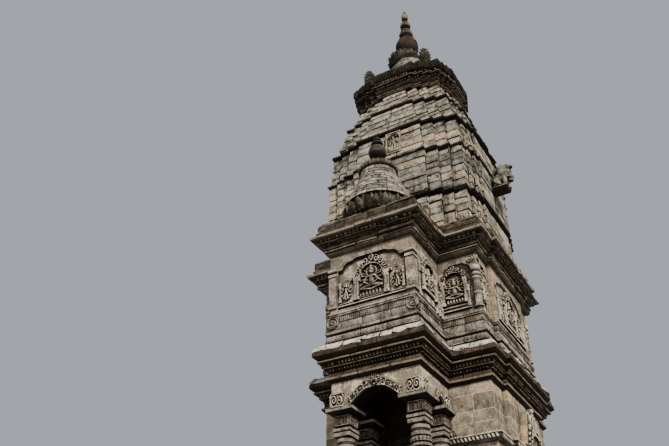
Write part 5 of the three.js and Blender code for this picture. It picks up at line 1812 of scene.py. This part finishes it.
TURRET_LOTUS = [(0.62, 0.002), (0.66, 0.02), (0.675, 0.1), (0.675, 0.25), (0.65, 0.38), (0.605, 0.44),
                (0.6, 0.5)]
TURRET_BELL = [(0.705, 0.36), (0.68, 0.45), (0.65, 0.53), (0.605, 0.62), (0.562, 0.72), (0.518, 0.82),
               (0.472, 0.92), (0.43, 1.01), (0.394, 1.1), (0.37, 1.19), (0.354, 1.285)]
TURRET_DISC = [(0.32, 1.27, 0, 1), (0.37, 1.28, 0, 0.8), (0.395, 1.315, 0.3), (0.402, 1.365, 0.6),
               (0.392, 1.415, 0.4), (0.34, 1.445, 0.2), (0.27, 1.465, 0, 0.6), (0.262, 1.49, 0.3),
               (0.21, 1.51, 0, 0.6), (0.2, 1.53, 0.3), (0.15, 1.545, 0, 0.8), (0.1, 1.565)]
TURRET_BALL = [
    (0.1, 1.54, 0, 1), (0.12, 1.57, 0.3), (0.12, 1.62, 0.3), (0.085, 1.65, 0, 1), (0.08, 1.69, 0, 1),
    *((0.189 * math.cos(t), 1.87 + 0.189 * math.sin(t), 0.25) for t in np.linspace(-1.1, 1.15, 12)),
    (0.07, 2.05, 0, 1), (0.075, 2.062, 0, 1), (0.115, 2.075, 0.2), (0.128, 2.092, 0.5), (0.128, 2.112, 0.5),
    (0.1, 2.128, 0, 0.6), (0.06, 2.136, 0, 1), (0.058, 2.15, 0, 1), (0.09, 2.163, 0.3), (0.102, 2.18, 0.5),
    (0.094, 2.2, 0.4), (0.05, 2.212, 0, 1), (0.045, 2.224, 0, 1), (0.064, 2.236, 0.3), (0.062, 2.255, 0.4),
    (0.035, 2.275, 0.2), (0.012, 2.31, 0.4),
]


def raise_turret():
    """Two rings of petals, a bell of curved stones, a ribbed disc and a ball with a ringed knob."""
    rng = np.random.default_rng(81)
    petals, bell, disc, ball = (Carving() for _ in range(4))
    turned(petals, lifted(TURRET_LOTUS, ROOF), TURRET, 72, None, 0.3)
    ring_of(petals, TURRET, 0.67, ROOF + 0.02, 26, petal(0.078, 0.27, 0.1), rng, pale=0.12, uneven=0.2)
    ring_of(petals, TURRET, 0.66, ROOF + 0.05, 26, petal(0.066, 0.3, 0.07), rng, math.pi / 26, pale=0.1,
            uneven=0.15)
    ring_of(petals, TURRET, 0.655, ROOF + 0.012, 44, bead(0.035, 0.07, 0.03), rng, pale=0.5)
    make_piece("turret petals", petals, "mossy stone", ("turret_lotus",))
    rows = lifted(TURRET_BELL, ROOF)
    ring_courses(bell, rows, TURRET, 11, rng, 0.01)
    # A backing behind the stones, near black where it shows through the joints: their dirt and painted shade.
    turned(bell, [(radius - 0.012, z, 0, 1) for radius, z in rows], TURRET, 48)
    make_piece("turret bell stones", bell, "tower ashlar", ("turret_bell",))
    turned(disc, lifted(TURRET_DISC, ROOF), TURRET, 168, fluting(0.028, 28, -1, 0.42), 0.5)
    make_piece("turret ribbed disc", disc, "disc stone", ("turret_disc",))
    turned(ball, lifted(TURRET_BALL, ROOF), TURRET, 40, None, 0.4)
    make_piece("turret ball and knob", ball, "ball stone", ("turret_ball",))


# The tower: half width and half depth at foot and top of each band, its foot, height and ledge

BANDS = [
    (1.53, 1.532, 9.79, 0.85, 1.606),
    (1.558, 1.558, 10.75, 1.03, 1.6),
    (1.532, 1.465, 11.89, 0.76, 1.54),
    (1.428, 1.235, 12.76, 0.82, 1.284),
    (1.185, 1.005, 13.69, 0.61, 1.005),
]
TOWER_PLAN = stepped_plan(TOWER_X, TOWER_Y)


def raise_tower(sizes):
    """Four bands of rough stones under ledges, a plain fifth with a frieze, and a carved front panel."""
    rng = np.random.default_rng(91)
    stones, ledges, frieze = Carving(), Carving(), Carving()
    rough = {"uneven": 0.008, "worn": 0.003, "chips": 0.014, "deepest": 0.02, "bevel": 0.011}
    for foot, top, low, rise, ledge in BANDS[:4]:
        face, out, z = top - TOWER_X, ledge - TOWER_X, low + rise
        courses(stones, TOWER_PLAN, low, z, sizes.tower_course, sizes.tower_stone, rng, foot - TOWER_X, face,
                0.026, joint=sizes.tower_joint, **rough)
        slab = [(face - 0.08, 0.03, 0, 1), (out - 0.016, 0.034, 0, 1), (out + 0.002, 0.042, 0, 0.3),
                (out + 0.006, 0.056, 0.3), (out + 0.003, 0.078, 0.6), (out - 0.012, 0.09, 0.5),
                (face - 0.02, 0.1, 0.2), (face - 0.08, 0.104, 0, 0.3)]
        course(ledges, TOWER_PLAN, lifted(slab, z), 0.3, rng, uneven=0.016, worn=0.01, chips=0.035,
               joint=0.012, deepest=0.05)
        roll = [(face - 0.05, -0.004, 0, 1), (face + 0.012, 0.0, 0, 0.4), (face + 0.03, 0.012, 0.7),
                (face + 0.028, 0.03, 0.7), (face - 0.05, 0.036, 0, 0.9)]
        course(stones, TOWER_PLAN, lifted(roll, z), 0.55, rng, uneven=0.003)
        row(ledges, TOWER_PLAN, out - 0.03, z + 0.02, 0.052, block(0.015, 0.022, 0.0, 0.03, 0.006), rng,
            pale=0.3, missing=0.12)
    foot, top, low, rise, _ = BANDS[4]
    middle, lean = low + rise * 0.48, (foot + top) / 2 - TOWER_X
    courses(stones, TOWER_PLAN, low, middle, 0.29, 0.62, rng, foot - TOWER_X, lean, 0.006, uneven=0.002,
            worn=0.002)
    courses(frieze, TOWER_PLAN, middle, low + rise, 0.15, 0.4, rng, lean, top - TOWER_X, 0.012, uneven=0.004,
            worn=0.008, chips=0.01)
    row(frieze, TOWER_PLAN, lean - 0.045, middle + 0.17, 0.11, bead(0.045, 0.05, 0.055, 6, 2), rng, pale=1.0,
        missing=0.1)
    row(frieze, TOWER_PLAN, lean - 0.01, middle + 0.02, 0.07, bead(0.025, 0.03, 0.025, 6, 2), rng, pale=1.0,
        missing=0.15)
    carve_front_panel(frieze)
    make_piece("tower stones", stones, "tower ashlar")
    make_piece("tower ledges", ledges, "ledge stone")
    make_piece("tower frieze", frieze, "carved stone")


def carve_front_panel(frieze):
    """A small framed figure on the front of the third band, leaning back with its stones."""
    foot, _, low, rise, _ = BANDS[2]
    u, v = plane_grid(-0.06, 0.3, 12.0, 12.64, 0.009)
    a = u - 0.12
    panel = highest(
        standing_attendant(u, v, 0.12, 12.04, 0.46, 1),
        foliage(a, v, 0.07) * (np.hypot(a, v - 12.46) < 0.14) * (v > 12.46),
        0.8 * ((np.abs(a) > 0.15) | (v < 12.03) | (v > 12.61)),
    )
    lean = (foot - TOWER_X) + TOWER_Y + 3 * STEP_Y - 0.067 * (v - low) / rise
    # The panel's sunk ground gets painted shade.
    relief(frieze, "front", 0.0, u, v, panel * 0.045 + lean + 0.014, 0.05, 0.7, 0.03, 1.0 * (panel < 0.45))


TOP_X, TOP_Y = 1.005, 0.797
TOP_CORE = [(-0.01, 0.0), (0.0, 0.1), (0.02, 0.16), (0.03, 0.34), (0.06, 0.44), (0.11, 0.5), (0.11, 0.676)]
TOP_DARK = [
    ([(-0.05, 0.112, 0, 1), (0.03, 0.114, 0, 1), (0.056, 0.13), (0.062, 0.2, 0.1), (0.06, 0.25),
      (-0.05, 0.254)], 0.45),
    ([(-0.05, 0.438, 0, 1), (0.1, 0.44, 0, 1), (0.146, 0.46), (0.15, 0.48), (0.15, 0.6), (0.14, 0.668, 0.3),
      (-0.05, 0.678)], 0.36),
]
TOP_PALE = [
    ([(-0.05, 0.002), (0.0, 0.004, 0, 0.6), (0.02, 0.03, 0.6), (0.022, 0.06, 0.6), (-0.05, 0.064)], 0.5),
    ([(-0.05, 0.066, 0, 1), (0.01, 0.068, 0, 1), (0.034, 0.078, 0.4), (0.036, 0.104, 0.6), (-0.05, 0.11)],
     0.5),
    ([(-0.05, 0.334, 0, 1), (0.07, 0.336, 0, 0.7), (0.108, 0.352, 0.8), (0.108, 0.37, 0.9), (0.08, 0.378),
      (-0.05, 0.38)], 0.5),
]


def crown_tower():
    """The cornice that ends the tower, nearly black, with paler fillets, beads and blocks."""
    rng = np.random.default_rng(101)
    dark, bright = Carving(), Carving()
    plan = stepped_plan(TOP_X, TOP_Y)
    stack(dark, plan, lifted(TOP_CORE, CROWN), 0.2)
    for carving, bands in ((dark, TOP_DARK), (bright, TOP_PALE)):
        lay_bands(carving, plan, bands, CROWN, rng, uneven=0.004, worn=0.005, chips=0.012)
    row(bright, plan, 0.03, CROWN + 0.29, 0.056, bead(0.024, 0.06, 0.028), rng, pale=0.8, missing=0.05)
    row(bright, plan, 0.06, CROWN + 0.384, 0.066, block(0.022, 0.07, 0.0, 0.05, 0.01), rng, pale=0.6,
        missing=0.1)
    row(dark, plan, 0.13, CROWN + 0.54, 0.07, block(0.024, 0.035, -0.04, 0.1, 0.012), rng, pale=0.25,
        missing=0.12)
    make_piece("top cornice stones", dark, "crown stone", ("top_cornice",))
    make_piece("top cornice fillets", bright, "cornice trim", ("top_cornice",))


# Finial: profiles [out, height over its own foot, pale, dirt and painted shade]

LOTUS_FOOT, VASE_FOOT, SPIRE_FOOT = 16.1, 16.57, 17.2
LOTUS_CENTRE = (-0.09, -0.052)  # the petals have slipped to one side
LEAF_X, LEAF_Y = 0.76, 0.79  # of the leaf at each corner of the roof
ROOF_SLAB = [(0.1, 0.002, 0, 0.8), (0.115, 0.02), (0.115, 0.06, 0.3), (0.05, 0.1, 0.2), (-0.3, 0.145),
             (-0.6, 0.15)]
DRUM = [
    (0.6, 0.1), (0.604, 0.17, 0.3), (0.56, 0.19, 0, 0.8), (0.556, 0.22), (0.556, 0.33), (0.574, 0.345, 0.3),
    (0.574, 0.375, 0.3), (0.554, 0.39, 0, 0.6), (0.556, 0.52),
    (0.52, 0.535, 0, 0.8), (0.524, 0.58), (0.524, 0.66), (0.54, 0.68, 0.4), (0.54, 0.73, 0.4),
    (0.52, 0.75, 0, 0.6), (0.526, 0.87, 0.3), (0.47, 0.93), (0.43, 1.0), (0.4, 1.12),
]
LEAF_STEM = [(0.15, 0.0), (0.155, 0.05, 0.6), (0.15, 0.11, 0.5), (0.1, 0.15, 0, 0.6)]
LEAF_CORE = [(0.1, 0.15), (0.11, 0.18), (0.12, 0.22), (0.135, 0.33), (0.1, 0.45), (0.06, 0.56), (0.02, 0.655)]
LOTUS_CORE = [(0.3, 0.0), (0.36, 0.08), (0.37, 0.2), (0.34, 0.34), (0.3, 0.46)]
VASE = [(0.15, 0.0), (0.21, 0.03, 0.2), (0.265, 0.1), (0.295, 0.2), (0.303, 0.3), (0.297, 0.38),
        (0.272, 0.46),
        (0.235, 0.53), (0.185, 0.585, 0, 0.6), (0.2, 0.6, 0.9), (0.207, 0.622, 1), (0.185, 0.64, 0.6),
        (0.1, 0.66)]
SPIRE = [
    (0.1, -0.01, 0, 1), (0.095, 0.02, 0, 1), (0.11, 0.045, 0, 1), (0.155, 0.075, 0, 0.5), (0.18, 0.12, 0.1),
    (0.186, 0.17, 0.3), (0.176, 0.22, 0.1), (0.15, 0.26, 0, 0.7),
    (0.158, 0.275, 0.8), (0.15, 0.3, 0.8), (0.11, 0.325, 0, 0.6), (0.075, 0.345, 0, 1), (0.07, 0.4, 0, 1),
    (0.1, 0.425, 0, 0.5), (0.132, 0.47, 0.1), (0.142, 0.52, 0.3),
    (0.134, 0.57, 0.1), (0.11, 0.605, 0, 0.6), (0.116, 0.62, 0.7), (0.105, 0.645, 0.6), (0.06, 0.67, 0, 1),
    (0.046, 0.69, 0, 1), (0.044, 0.745, 0, 1), (0.066, 0.77, 0.3),
    (0.088, 0.83, 0.7), (0.096, 0.9, 0.9), (0.09, 0.96, 0.9), (0.07, 1.01, 0.7), (0.042, 1.035, 0.2, 0.7),
    (0.05, 1.065, 0.5), (0.036, 1.115, 0.5), (0.012, 1.17, 0.6),
]


def crown_finial():
    """The roof with its corner leaves, a drum of stones, a ring of petals, the metal vase and the spire."""
    rng = np.random.default_rng(111)
    base, leaves, petals, vase, spire = (Carving() for _ in range(5))
    axis = (0, 0)
    stack(leaves, stepped_plan(TOP_X, TOP_Y), lifted(ROOF_SLAB, DECK), 0.3)
    turned(base, lifted(DRUM, DECK), axis, 96, None, 0.3)
    for radius, heights, stones in ((0.545, (0.2, 0.36, 0.52), 12), (0.515, (0.55, 0.71, 0.86), 11)):
        ring_courses(base, [(radius, DECK + z) for z in heights], axis, stones, rng, 0.012)
    for centre in ((sx * LEAF_X, sy * LEAF_Y) for sx in (-1, 1) for sy in (-1, 1)):
        turned(base, lifted(LEAF_STEM, DECK), centre, 24, None, 0.7)
        turned(leaves, [(radius * 0.75, DECK + z, 0, 1) for radius, z in LEAF_CORE], centre, 16, None, 0.2)
        for level in range(9):
            radius = 0.1 * math.sin(0.5 + level * 0.27) + 0.015
            ring_of(leaves, centre, radius, DECK + 0.13 + 0.053 * level, 8, leaf(0.034, 0.1, 0.06), rng,
                    level * 0.4, 0.55, 0.35)
    turned(petals, lifted(LOTUS_CORE, LOTUS_FOOT), LOTUS_CENTRE, 48, None, 0.3)
    for radius, lift, count, unit, turn, pale in (
        (0.335, 0.01, 12, petal(0.1, 0.31, 0.1), 0.2, 0.2),
        (0.33, 0.03, 12, petal(0.085, 0.34, 0.075), 0.2 + math.pi / 12, 0.12),
        (0.325, -0.01, 30, bead(0.035, 0.04, 0.03), 0.0, 0.4),
    ):
        ring_of(petals, LOTUS_CENTRE, radius, LOTUS_FOOT + lift, count, unit, rng, turn, pale)

    def dented(angle, share):
        """Ten shallow lobes round the belly of the vase, none at its foot and rim."""
        return 0.012 * np.cos(angle * 10) * np.sin(share * math.pi)

    turned(vase, lifted(VASE, VASE_FOOT), axis, 96, dented, 0.4)
    turned(spire, lifted(SPIRE, SPIRE_FOOT), axis, 96, fluting(0.035, 12, -1, 0.66), 0.3)
    make_piece("finial drum", base, "lichen stone", ("finial_base",))
    make_piece("finial roof and leaves", leaves, "mossy stone", ("finial_base",))
    make_piece("finial petals", petals, "dark moss and shade", ("finial_lotus",))
    piece = make_piece("finial metal vase", vase, "disc stone", ("finial_vase",))
    piece.data.materials[0] = metal_finish()
    make_piece("finial ringed spire", spire, "spire stone", ("finial_spire",))


# Lions

# From x0 y0 z0 to x1 y1 z1, then two radii; x outwards, y along the wall, z over the feet; mirrored in y
LION_PARTS = [
    ((0.16, 0.03, 0.17), (0.3, 0.0, 0.3), 0.15, 0.15),
    ((0.3, 0.0, 0.26), (0.36, 0.0, 0.42), 0.155, 0.125),
    ((0.38, 0.025, 0.49), (0.4, 0.025, 0.51), 0.105, 0.1),
    ((0.43, 0.02, 0.53), (0.52, 0.015, 0.535), 0.06, 0.042),
    ((0.42, 0.02, 0.44), (0.49, 0.015, 0.41), 0.05, 0.035),
    ((0.43, 0.06, 0.585), (0.45, 0.06, 0.59), 0.03, 0.026),
    ((0.33, 0.08, 0.58), (0.33, 0.1, 0.63), 0.034, 0.018),
    ((0.3, 0.1, 0.4), (0.26, 0.11, 0.5), 0.055, 0.045),
    ((0.3, 0.12, 0.3), (0.25, 0.12, 0.38), 0.05, 0.045),
    ((0.3, 0.05, 0.56), (0.26, 0.04, 0.6), 0.06, 0.045),
    ((0.37, 0.09, 0.26), (0.47, 0.09, 0.2), 0.058, 0.046),
    ((0.47, 0.09, 0.2), (0.5, 0.085, 0.3), 0.046, 0.04),
    ((0.36, 0.1, 0.24), (0.36, 0.1, 0.03), 0.06, 0.05),
    ((0.34, 0.1, 0.02), (0.42, 0.1, 0.015), 0.045, 0.035),
    ((0.14, 0.1, 0.15), (0.2, 0.12, 0.06), 0.1, 0.06),
    ((0.12, 0.11, 0.03), (0.26, 0.12, 0.02), 0.05, 0.035),
    ((0.07, 0.01, 0.2), (0.07, 0.01, 0.42), 0.04, 0.035),
    ((0.07, 0.01, 0.42), (0.14, 0.01, 0.55), 0.04, 0.06),
]


def rounded_bar(start, end, radius0, radius1, around=12, rings=4):
    """A closed bar with half balls for ends: rings of points round the line between the two ends."""
    start, end = np.array(start, float), np.array(end, float)
    line = end - start
    length = max(float(np.linalg.norm(line)), 1e-6)
    ahead = line / length
    side = np.cross(ahead, (0.0, 1.0, 0.0) if abs(ahead[1]) < 0.9 else (1.0, 0.0, 0.0))
    side /= np.linalg.norm(side)
    other = np.cross(ahead, side)
    lean = np.linspace(-math.pi / 2, math.pi / 2, 2 * rings + 2)[1:-1]
    along = np.where(lean < 0, radius0 * np.sin(lean), length + radius1 * np.sin(lean))
    wide = np.where(lean < 0, radius0, radius1) * np.cos(lean)
    angle = np.linspace(0, 2 * math.pi, around, endpoint=False)
    around_it = np.cos(angle)[:, None] * side + np.sin(angle)[:, None] * other
    points = start + along[:, None, None] * ahead + wide[:, None, None] * around_it[None]
    return points, tube_faces(len(lean), around)


LION_FEET, LION_SIZE = 11.4, 0.92
LION_WALLS = {"right": 1.7083, "left": 1.7083, "back": 1.5753}  # the tower's face behind each lion
BRACKET_MIDDLE, BRACKET_OUT, BRACKET_ALONG = 0.165, 0.185, 0.12  # from the face, half depth, half width
BRACKET = [(-0.03, -0.12, 0, 0.8), (0.0, -0.1), (0.02, -0.06, 0.2), (0.0, -0.05, 0, 0.8), (0.03, -0.035, 0.4),
           (0.03, -0.002, 0.6), (0.0, 0.004)]


def seat_lions(sizes):
    """A lion on a bracket in the middle of three faces, its limbs melted into one skin."""
    for turn, wall in LION_WALLS.items():
        along, outward = TURNS[turn]
        figure, bracket = Carving(), Carving()
        for start, end, r0, r1 in LION_PARTS:
            for side in (-1, 1):
                points, faces = rounded_bar(start, end, r0, r1)
                out, aside, up = np.moveaxis(points * (1, side, 1) * LION_SIZE, -1, 0)[..., None]
                figure.add(outward * (wall + out) + along * aside + UP * (LION_FEET + up), faces)
        middle = outward * (wall + BRACKET_MIDDLE)
        half = np.abs(outward) * BRACKET_OUT + np.abs(along) * BRACKET_ALONG
        plan = square(middle[0], middle[1], half[0], half[1])
        stack(bracket, plan, lifted(BRACKET, LION_FEET), 0.5)
        lion = make_piece("seated lion " + turn, figure, "lion stone", ("lion_" + turn,))
        melt = lion.modifiers.new("one skin", "REMESH")
        melt.mode, melt.voxel_size, melt.use_smooth_shade = "VOXEL", sizes.lion_skin, True
        make_piece("bracket of lion " + turn, bracket, "lion stone", ("lion_" + turn,))


# ---------------------------------------------------------------------------------------------
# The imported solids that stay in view

NODE_FINISHES = {
    "tan wall": ("back_wall", "left_wall", "right_wall"),
    "carved wall": ("niche_storey_body", "niche_storey_porch"),
    # The porch's arches are painted dark for the shade inside the porch, with soot.
    "soot and shade stone": ("porch_front_arch", "porch_side_arch_left", "porch_side_arch_right"),
    "shaded wall": ("front_wall_left", "front_wall_right", "front_wall_over_door"),
    # The tower's bands and the bell, seen only through open joints, are painted near black: the joints' dirt
    # and painted shade.
    "shaded joint bed": ("tower_band_1", "tower_band_2", "tower_band_3", "tower_band_4", "tower_band_5",
                  "turret_bell"),
    "door stone": ("door_surround",),
    "plinth core": ("front_stair", "stair_cheek_left", "stair_cheek_right"),
}


def finish_solids():
    """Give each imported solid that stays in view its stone, without touching its mesh."""
    for finish, names in NODE_FINISHES.items():
        for name in names:
            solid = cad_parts[name]
            solid.data.materials.clear()
            solid.data.materials.append(stone_finish(finish))


# ---------------------------------------------------------------------------------------------
# Stage

CAMERA_PLACE = (5.165, -12.866, 1.6)
CAMERA_TURN = (math.radians(90 + 34.85), 0.0, math.radians(29.95))
CAMERA_LENS = 40.08
FLOOR_PROFILE = [(60.0, -0.06), (60.0, -0.003)]
SUN_COLOUR, SKY_COLOUR = (1.0, 0.95, 0.86), (0.84, 0.9, 1.0, 1.0)


def plain_finish(name, colour):
    """A matt surface with a faint mottle in its brightness."""
    material, tree = new_material(name)
    mottle = put(tree, "TexNoise", Vector=object_place(tree), Scale=0.4, Detail=3.0).outputs["Fac"]
    darker = tuple(c * 0.94 for c in colour)
    shade = laid_over(tree, mottle, (*darker, 1.0), (*colour, 1.0))
    shader = put(tree, "BsdfPrincipled", Base_Color=shade, Roughness=0.9)
    put(tree, "OutputMaterial", Surface=shader.outputs[0])
    return material


def set_stage(stage):
    """A round pale floor, one soft sun, a pale sky and the camera at the viewing angle."""
    scene = bpy.context.scene
    floor = Carving()
    turned(floor, FLOOR_PROFILE, (0, 0), 96)
    mesh = bpy.data.meshes.new("floor")
    mesh.from_pydata([tuple(p) for p in floor.points[0]], [],
                     [tuple(f) for group in floor.faces for f in group])
    mesh.update()
    mesh.materials.append(plain_finish("pale floor", tuple(stage.floor)[:3]))
    ground = bpy.data.objects.new("floor", mesh)
    scene.collection.objects.link(ground)
    sun_data = bpy.data.lights.new("sun", "SUN")
    sun_data.energy, sun_data.angle, sun_data.color = stage.sun, math.radians(6), SUN_COLOUR
    sun = bpy.data.objects.new("sun", sun_data)
    sun.rotation_euler = (math.radians(52), 0, math.radians(48))
    scene.collection.objects.link(sun)
    camera_data = bpy.data.cameras.new("camera")
    camera_data.lens, camera_data.sensor_width = CAMERA_LENS, 36.0
    camera_data.clip_end = 500.0
    camera = bpy.data.objects.new("camera", camera_data)
    camera.location, camera.rotation_euler = CAMERA_PLACE, CAMERA_TURN
    scene.collection.objects.link(camera)
    scene.camera = camera
    world = bpy.data.worlds.new("pale studio")
    world.use_nodes = True
    background = world.node_tree.nodes["Background"]
    background.inputs["Color"].default_value = SKY_COLOUR
    background.inputs["Strength"].default_value = stage.sky
    scene.world = world


# ---------------------------------------------------------------------------------------------
# Operators, panel and registration


class TEMPLE_OT_finish_solids(bpy.types.Operator):
    """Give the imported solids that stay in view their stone"""

    bl_idname = "temple.finish_solids"
    bl_label = "Finish the solids"

    def execute(self, context):
        finish_solids()
        return {"FINISHED"}


class TEMPLE_OT_plinth(bpy.types.Operator):
    """Lay the stones of the plinth's three tiers"""

    bl_idname = "temple.plinth"
    bl_label = "Plinth stones"

    def execute(self, context):
        lay_plinth(context.scene.temple_stones)
        return {"FINISHED"}


class TEMPLE_OT_steps(bpy.types.Operator):
    """Lay the slabs of the flight of steps"""

    bl_idname = "temple.steps"
    bl_label = "Stair slabs"

    def execute(self, context):
        lay_steps()
        return {"FINISHED"}


class TEMPLE_OT_cheeks(bpy.types.Operator):
    """Lay the slabs and caps of the cheek walls"""

    bl_idname = "temple.cheeks"
    bl_label = "Cheek slabs"

    def execute(self, context):
        lay_cheeks()
        return {"FINISHED"}


class TEMPLE_OT_walls(bpy.types.Operator):
    """Lay the stones and mouldings of the shrine's walls"""

    bl_idname = "temple.walls"
    bl_label = "Wall stones"

    def execute(self, context):
        lay_walls(context.scene.temple_stones)
        return {"FINISHED"}


class TEMPLE_OT_shrines(bpy.types.Operator):
    """Carve the blind shrines on three walls"""

    bl_idname = "temple.shrines"
    bl_label = "Blind shrines"

    def execute(self, context):
        carve_shrines()
        return {"FINISHED"}


class TEMPLE_OT_door(bpy.types.Operator):
    """Carve the surround of the doorway"""

    bl_idname = "temple.door"
    bl_label = "Door carvings"

    def execute(self, context):
        carve_door()
        return {"FINISHED"}


class TEMPLE_OT_columns(bpy.types.Operator):
    """Raise the four columns of the porch"""

    bl_idname = "temple.columns"
    bl_label = "Porch columns"

    def execute(self, context):
        raise_columns()
        return {"FINISHED"}


class TEMPLE_OT_beams(bpy.types.Operator):
    """Carve the arched beams of the porch"""

    bl_idname = "temple.beams"
    bl_label = "Porch beams"

    def execute(self, context):
        carve_porch_beams()
        return {"FINISHED"}


class TEMPLE_OT_lower_cornice(bpy.types.Operator):
    """Carve the lower cornice with its beads and blocks"""

    bl_idname = "temple.lower_cornice"
    bl_label = "Lower cornice"

    def execute(self, context):
        carve_lower_cornice()
        return {"FINISHED"}


class TEMPLE_OT_base_band(bpy.types.Operator):
    """Carve the mouldings and lattice under the niche storey"""

    bl_idname = "temple.base_band"
    bl_label = "Base band"

    def execute(self, context):
        carve_base_band()
        return {"FINISHED"}


class TEMPLE_OT_niches(bpy.types.Operator):
    """Carve the niches with their figures"""

    bl_idname = "temple.niches"
    bl_label = "Niches"

    def execute(self, context):
        carve_niches(context.scene.temple_stones)
        return {"FINISHED"}


class TEMPLE_OT_piers(bpy.types.Operator):
    """Raise the piers and round columns of the niche storey"""

    bl_idname = "temple.piers"
    bl_label = "Storey piers"

    def execute(self, context):
        corner_piers()
        return {"FINISHED"}


class TEMPLE_OT_upper_cornice(bpy.types.Operator):
    """Carve the upper cornice with its beads and blocks"""

    bl_idname = "temple.upper_cornice"
    bl_label = "Upper cornice"

    def execute(self, context):
        carve_upper_cornice()
        return {"FINISHED"}


class TEMPLE_OT_turret(bpy.types.Operator):
    """Raise the petals, bell, ribbed disc and ball over the porch"""

    bl_idname = "temple.turret"
    bl_label = "Turret"

    def execute(self, context):
        raise_turret()
        return {"FINISHED"}


class TEMPLE_OT_tower(bpy.types.Operator):
    """Lay the stones, ledges and frieze of the tower"""

    bl_idname = "temple.tower"
    bl_label = "Tower"

    def execute(self, context):
        raise_tower(context.scene.temple_stones)
        return {"FINISHED"}


class TEMPLE_OT_top_cornice(bpy.types.Operator):
    """Carve the cornice that ends the tower"""

    bl_idname = "temple.top_cornice"
    bl_label = "Top cornice"

    def execute(self, context):
        crown_tower()
        return {"FINISHED"}


class TEMPLE_OT_finial(bpy.types.Operator):
    """Raise the drum, corner leaves, petals, vase and spire"""

    bl_idname = "temple.finial"
    bl_label = "Finial"

    def execute(self, context):
        crown_finial()
        return {"FINISHED"}


class TEMPLE_OT_lions(bpy.types.Operator):
    """Seat a lion on its bracket on three faces of the tower"""

    bl_idname = "temple.lions"
    bl_label = "Lions"

    def execute(self, context):
        seat_lions(context.scene.temple_stones)
        return {"FINISHED"}


class TEMPLE_OT_stage(bpy.types.Operator):
    """Set the floor, light and camera"""

    bl_idname = "temple.stage"
    bl_label = "Stage"

    def execute(self, context):
        set_stage(context.scene.temple_stage)
        return {"FINISHED"}


STEPS = (
    TEMPLE_OT_finish_solids,
    TEMPLE_OT_plinth,
    TEMPLE_OT_steps,
    TEMPLE_OT_cheeks,
    TEMPLE_OT_walls,
    TEMPLE_OT_shrines,
    TEMPLE_OT_door,
    TEMPLE_OT_columns,
    TEMPLE_OT_beams,
    TEMPLE_OT_lower_cornice,
    TEMPLE_OT_base_band,
    TEMPLE_OT_niches,
    TEMPLE_OT_piers,
    TEMPLE_OT_upper_cornice,
    TEMPLE_OT_turret,
    TEMPLE_OT_tower,
    TEMPLE_OT_top_cornice,
    TEMPLE_OT_finial,
    TEMPLE_OT_lions,
    TEMPLE_OT_stage,
)


class TEMPLE_PT_steps(bpy.types.Panel):
    """Every step of the temple and the sizes and colours it uses"""

    bl_idname = "TEMPLE_PT_steps"
    bl_label = "Stone hindu temple"
    bl_space_type = "VIEW_3D"
    bl_region_type = "UI"
    bl_category = "Temple"

    def draw(self, context):
        for step in STEPS:
            self.layout.operator(step.bl_idname)
        for name, group in SETTINGS.items():
            box = self.layout.box()
            for label in group.__annotations__:
                box.prop(getattr(context.scene, name), label)


SETTINGS = {"temple_stones": TempleStones, "temple_weather": TempleWeather, "temple_stage": TempleStage}


def register():
    for each in (*SETTINGS.values(), *STEPS, TEMPLE_PT_steps):
        bpy.utils.register_class(each)
    for name, group in SETTINGS.items():
        setattr(bpy.types.Scene, name, PointerProperty(type=group))


def unregister():
    for name in SETTINGS:
        delattr(bpy.types.Scene, name)
    for each in reversed((*SETTINGS.values(), *STEPS, TEMPLE_PT_steps)):
        bpy.utils.unregister_class(each)


def main():
    """Build the temple step by step."""
    register()
    for step in STEPS:
        if getattr(bpy.ops.temple, step.bl_idname.split(".")[1])() != {"FINISHED"}:
            raise RuntimeError(step.bl_label + " did not finish")


if __name__ == "__main__":
    main()
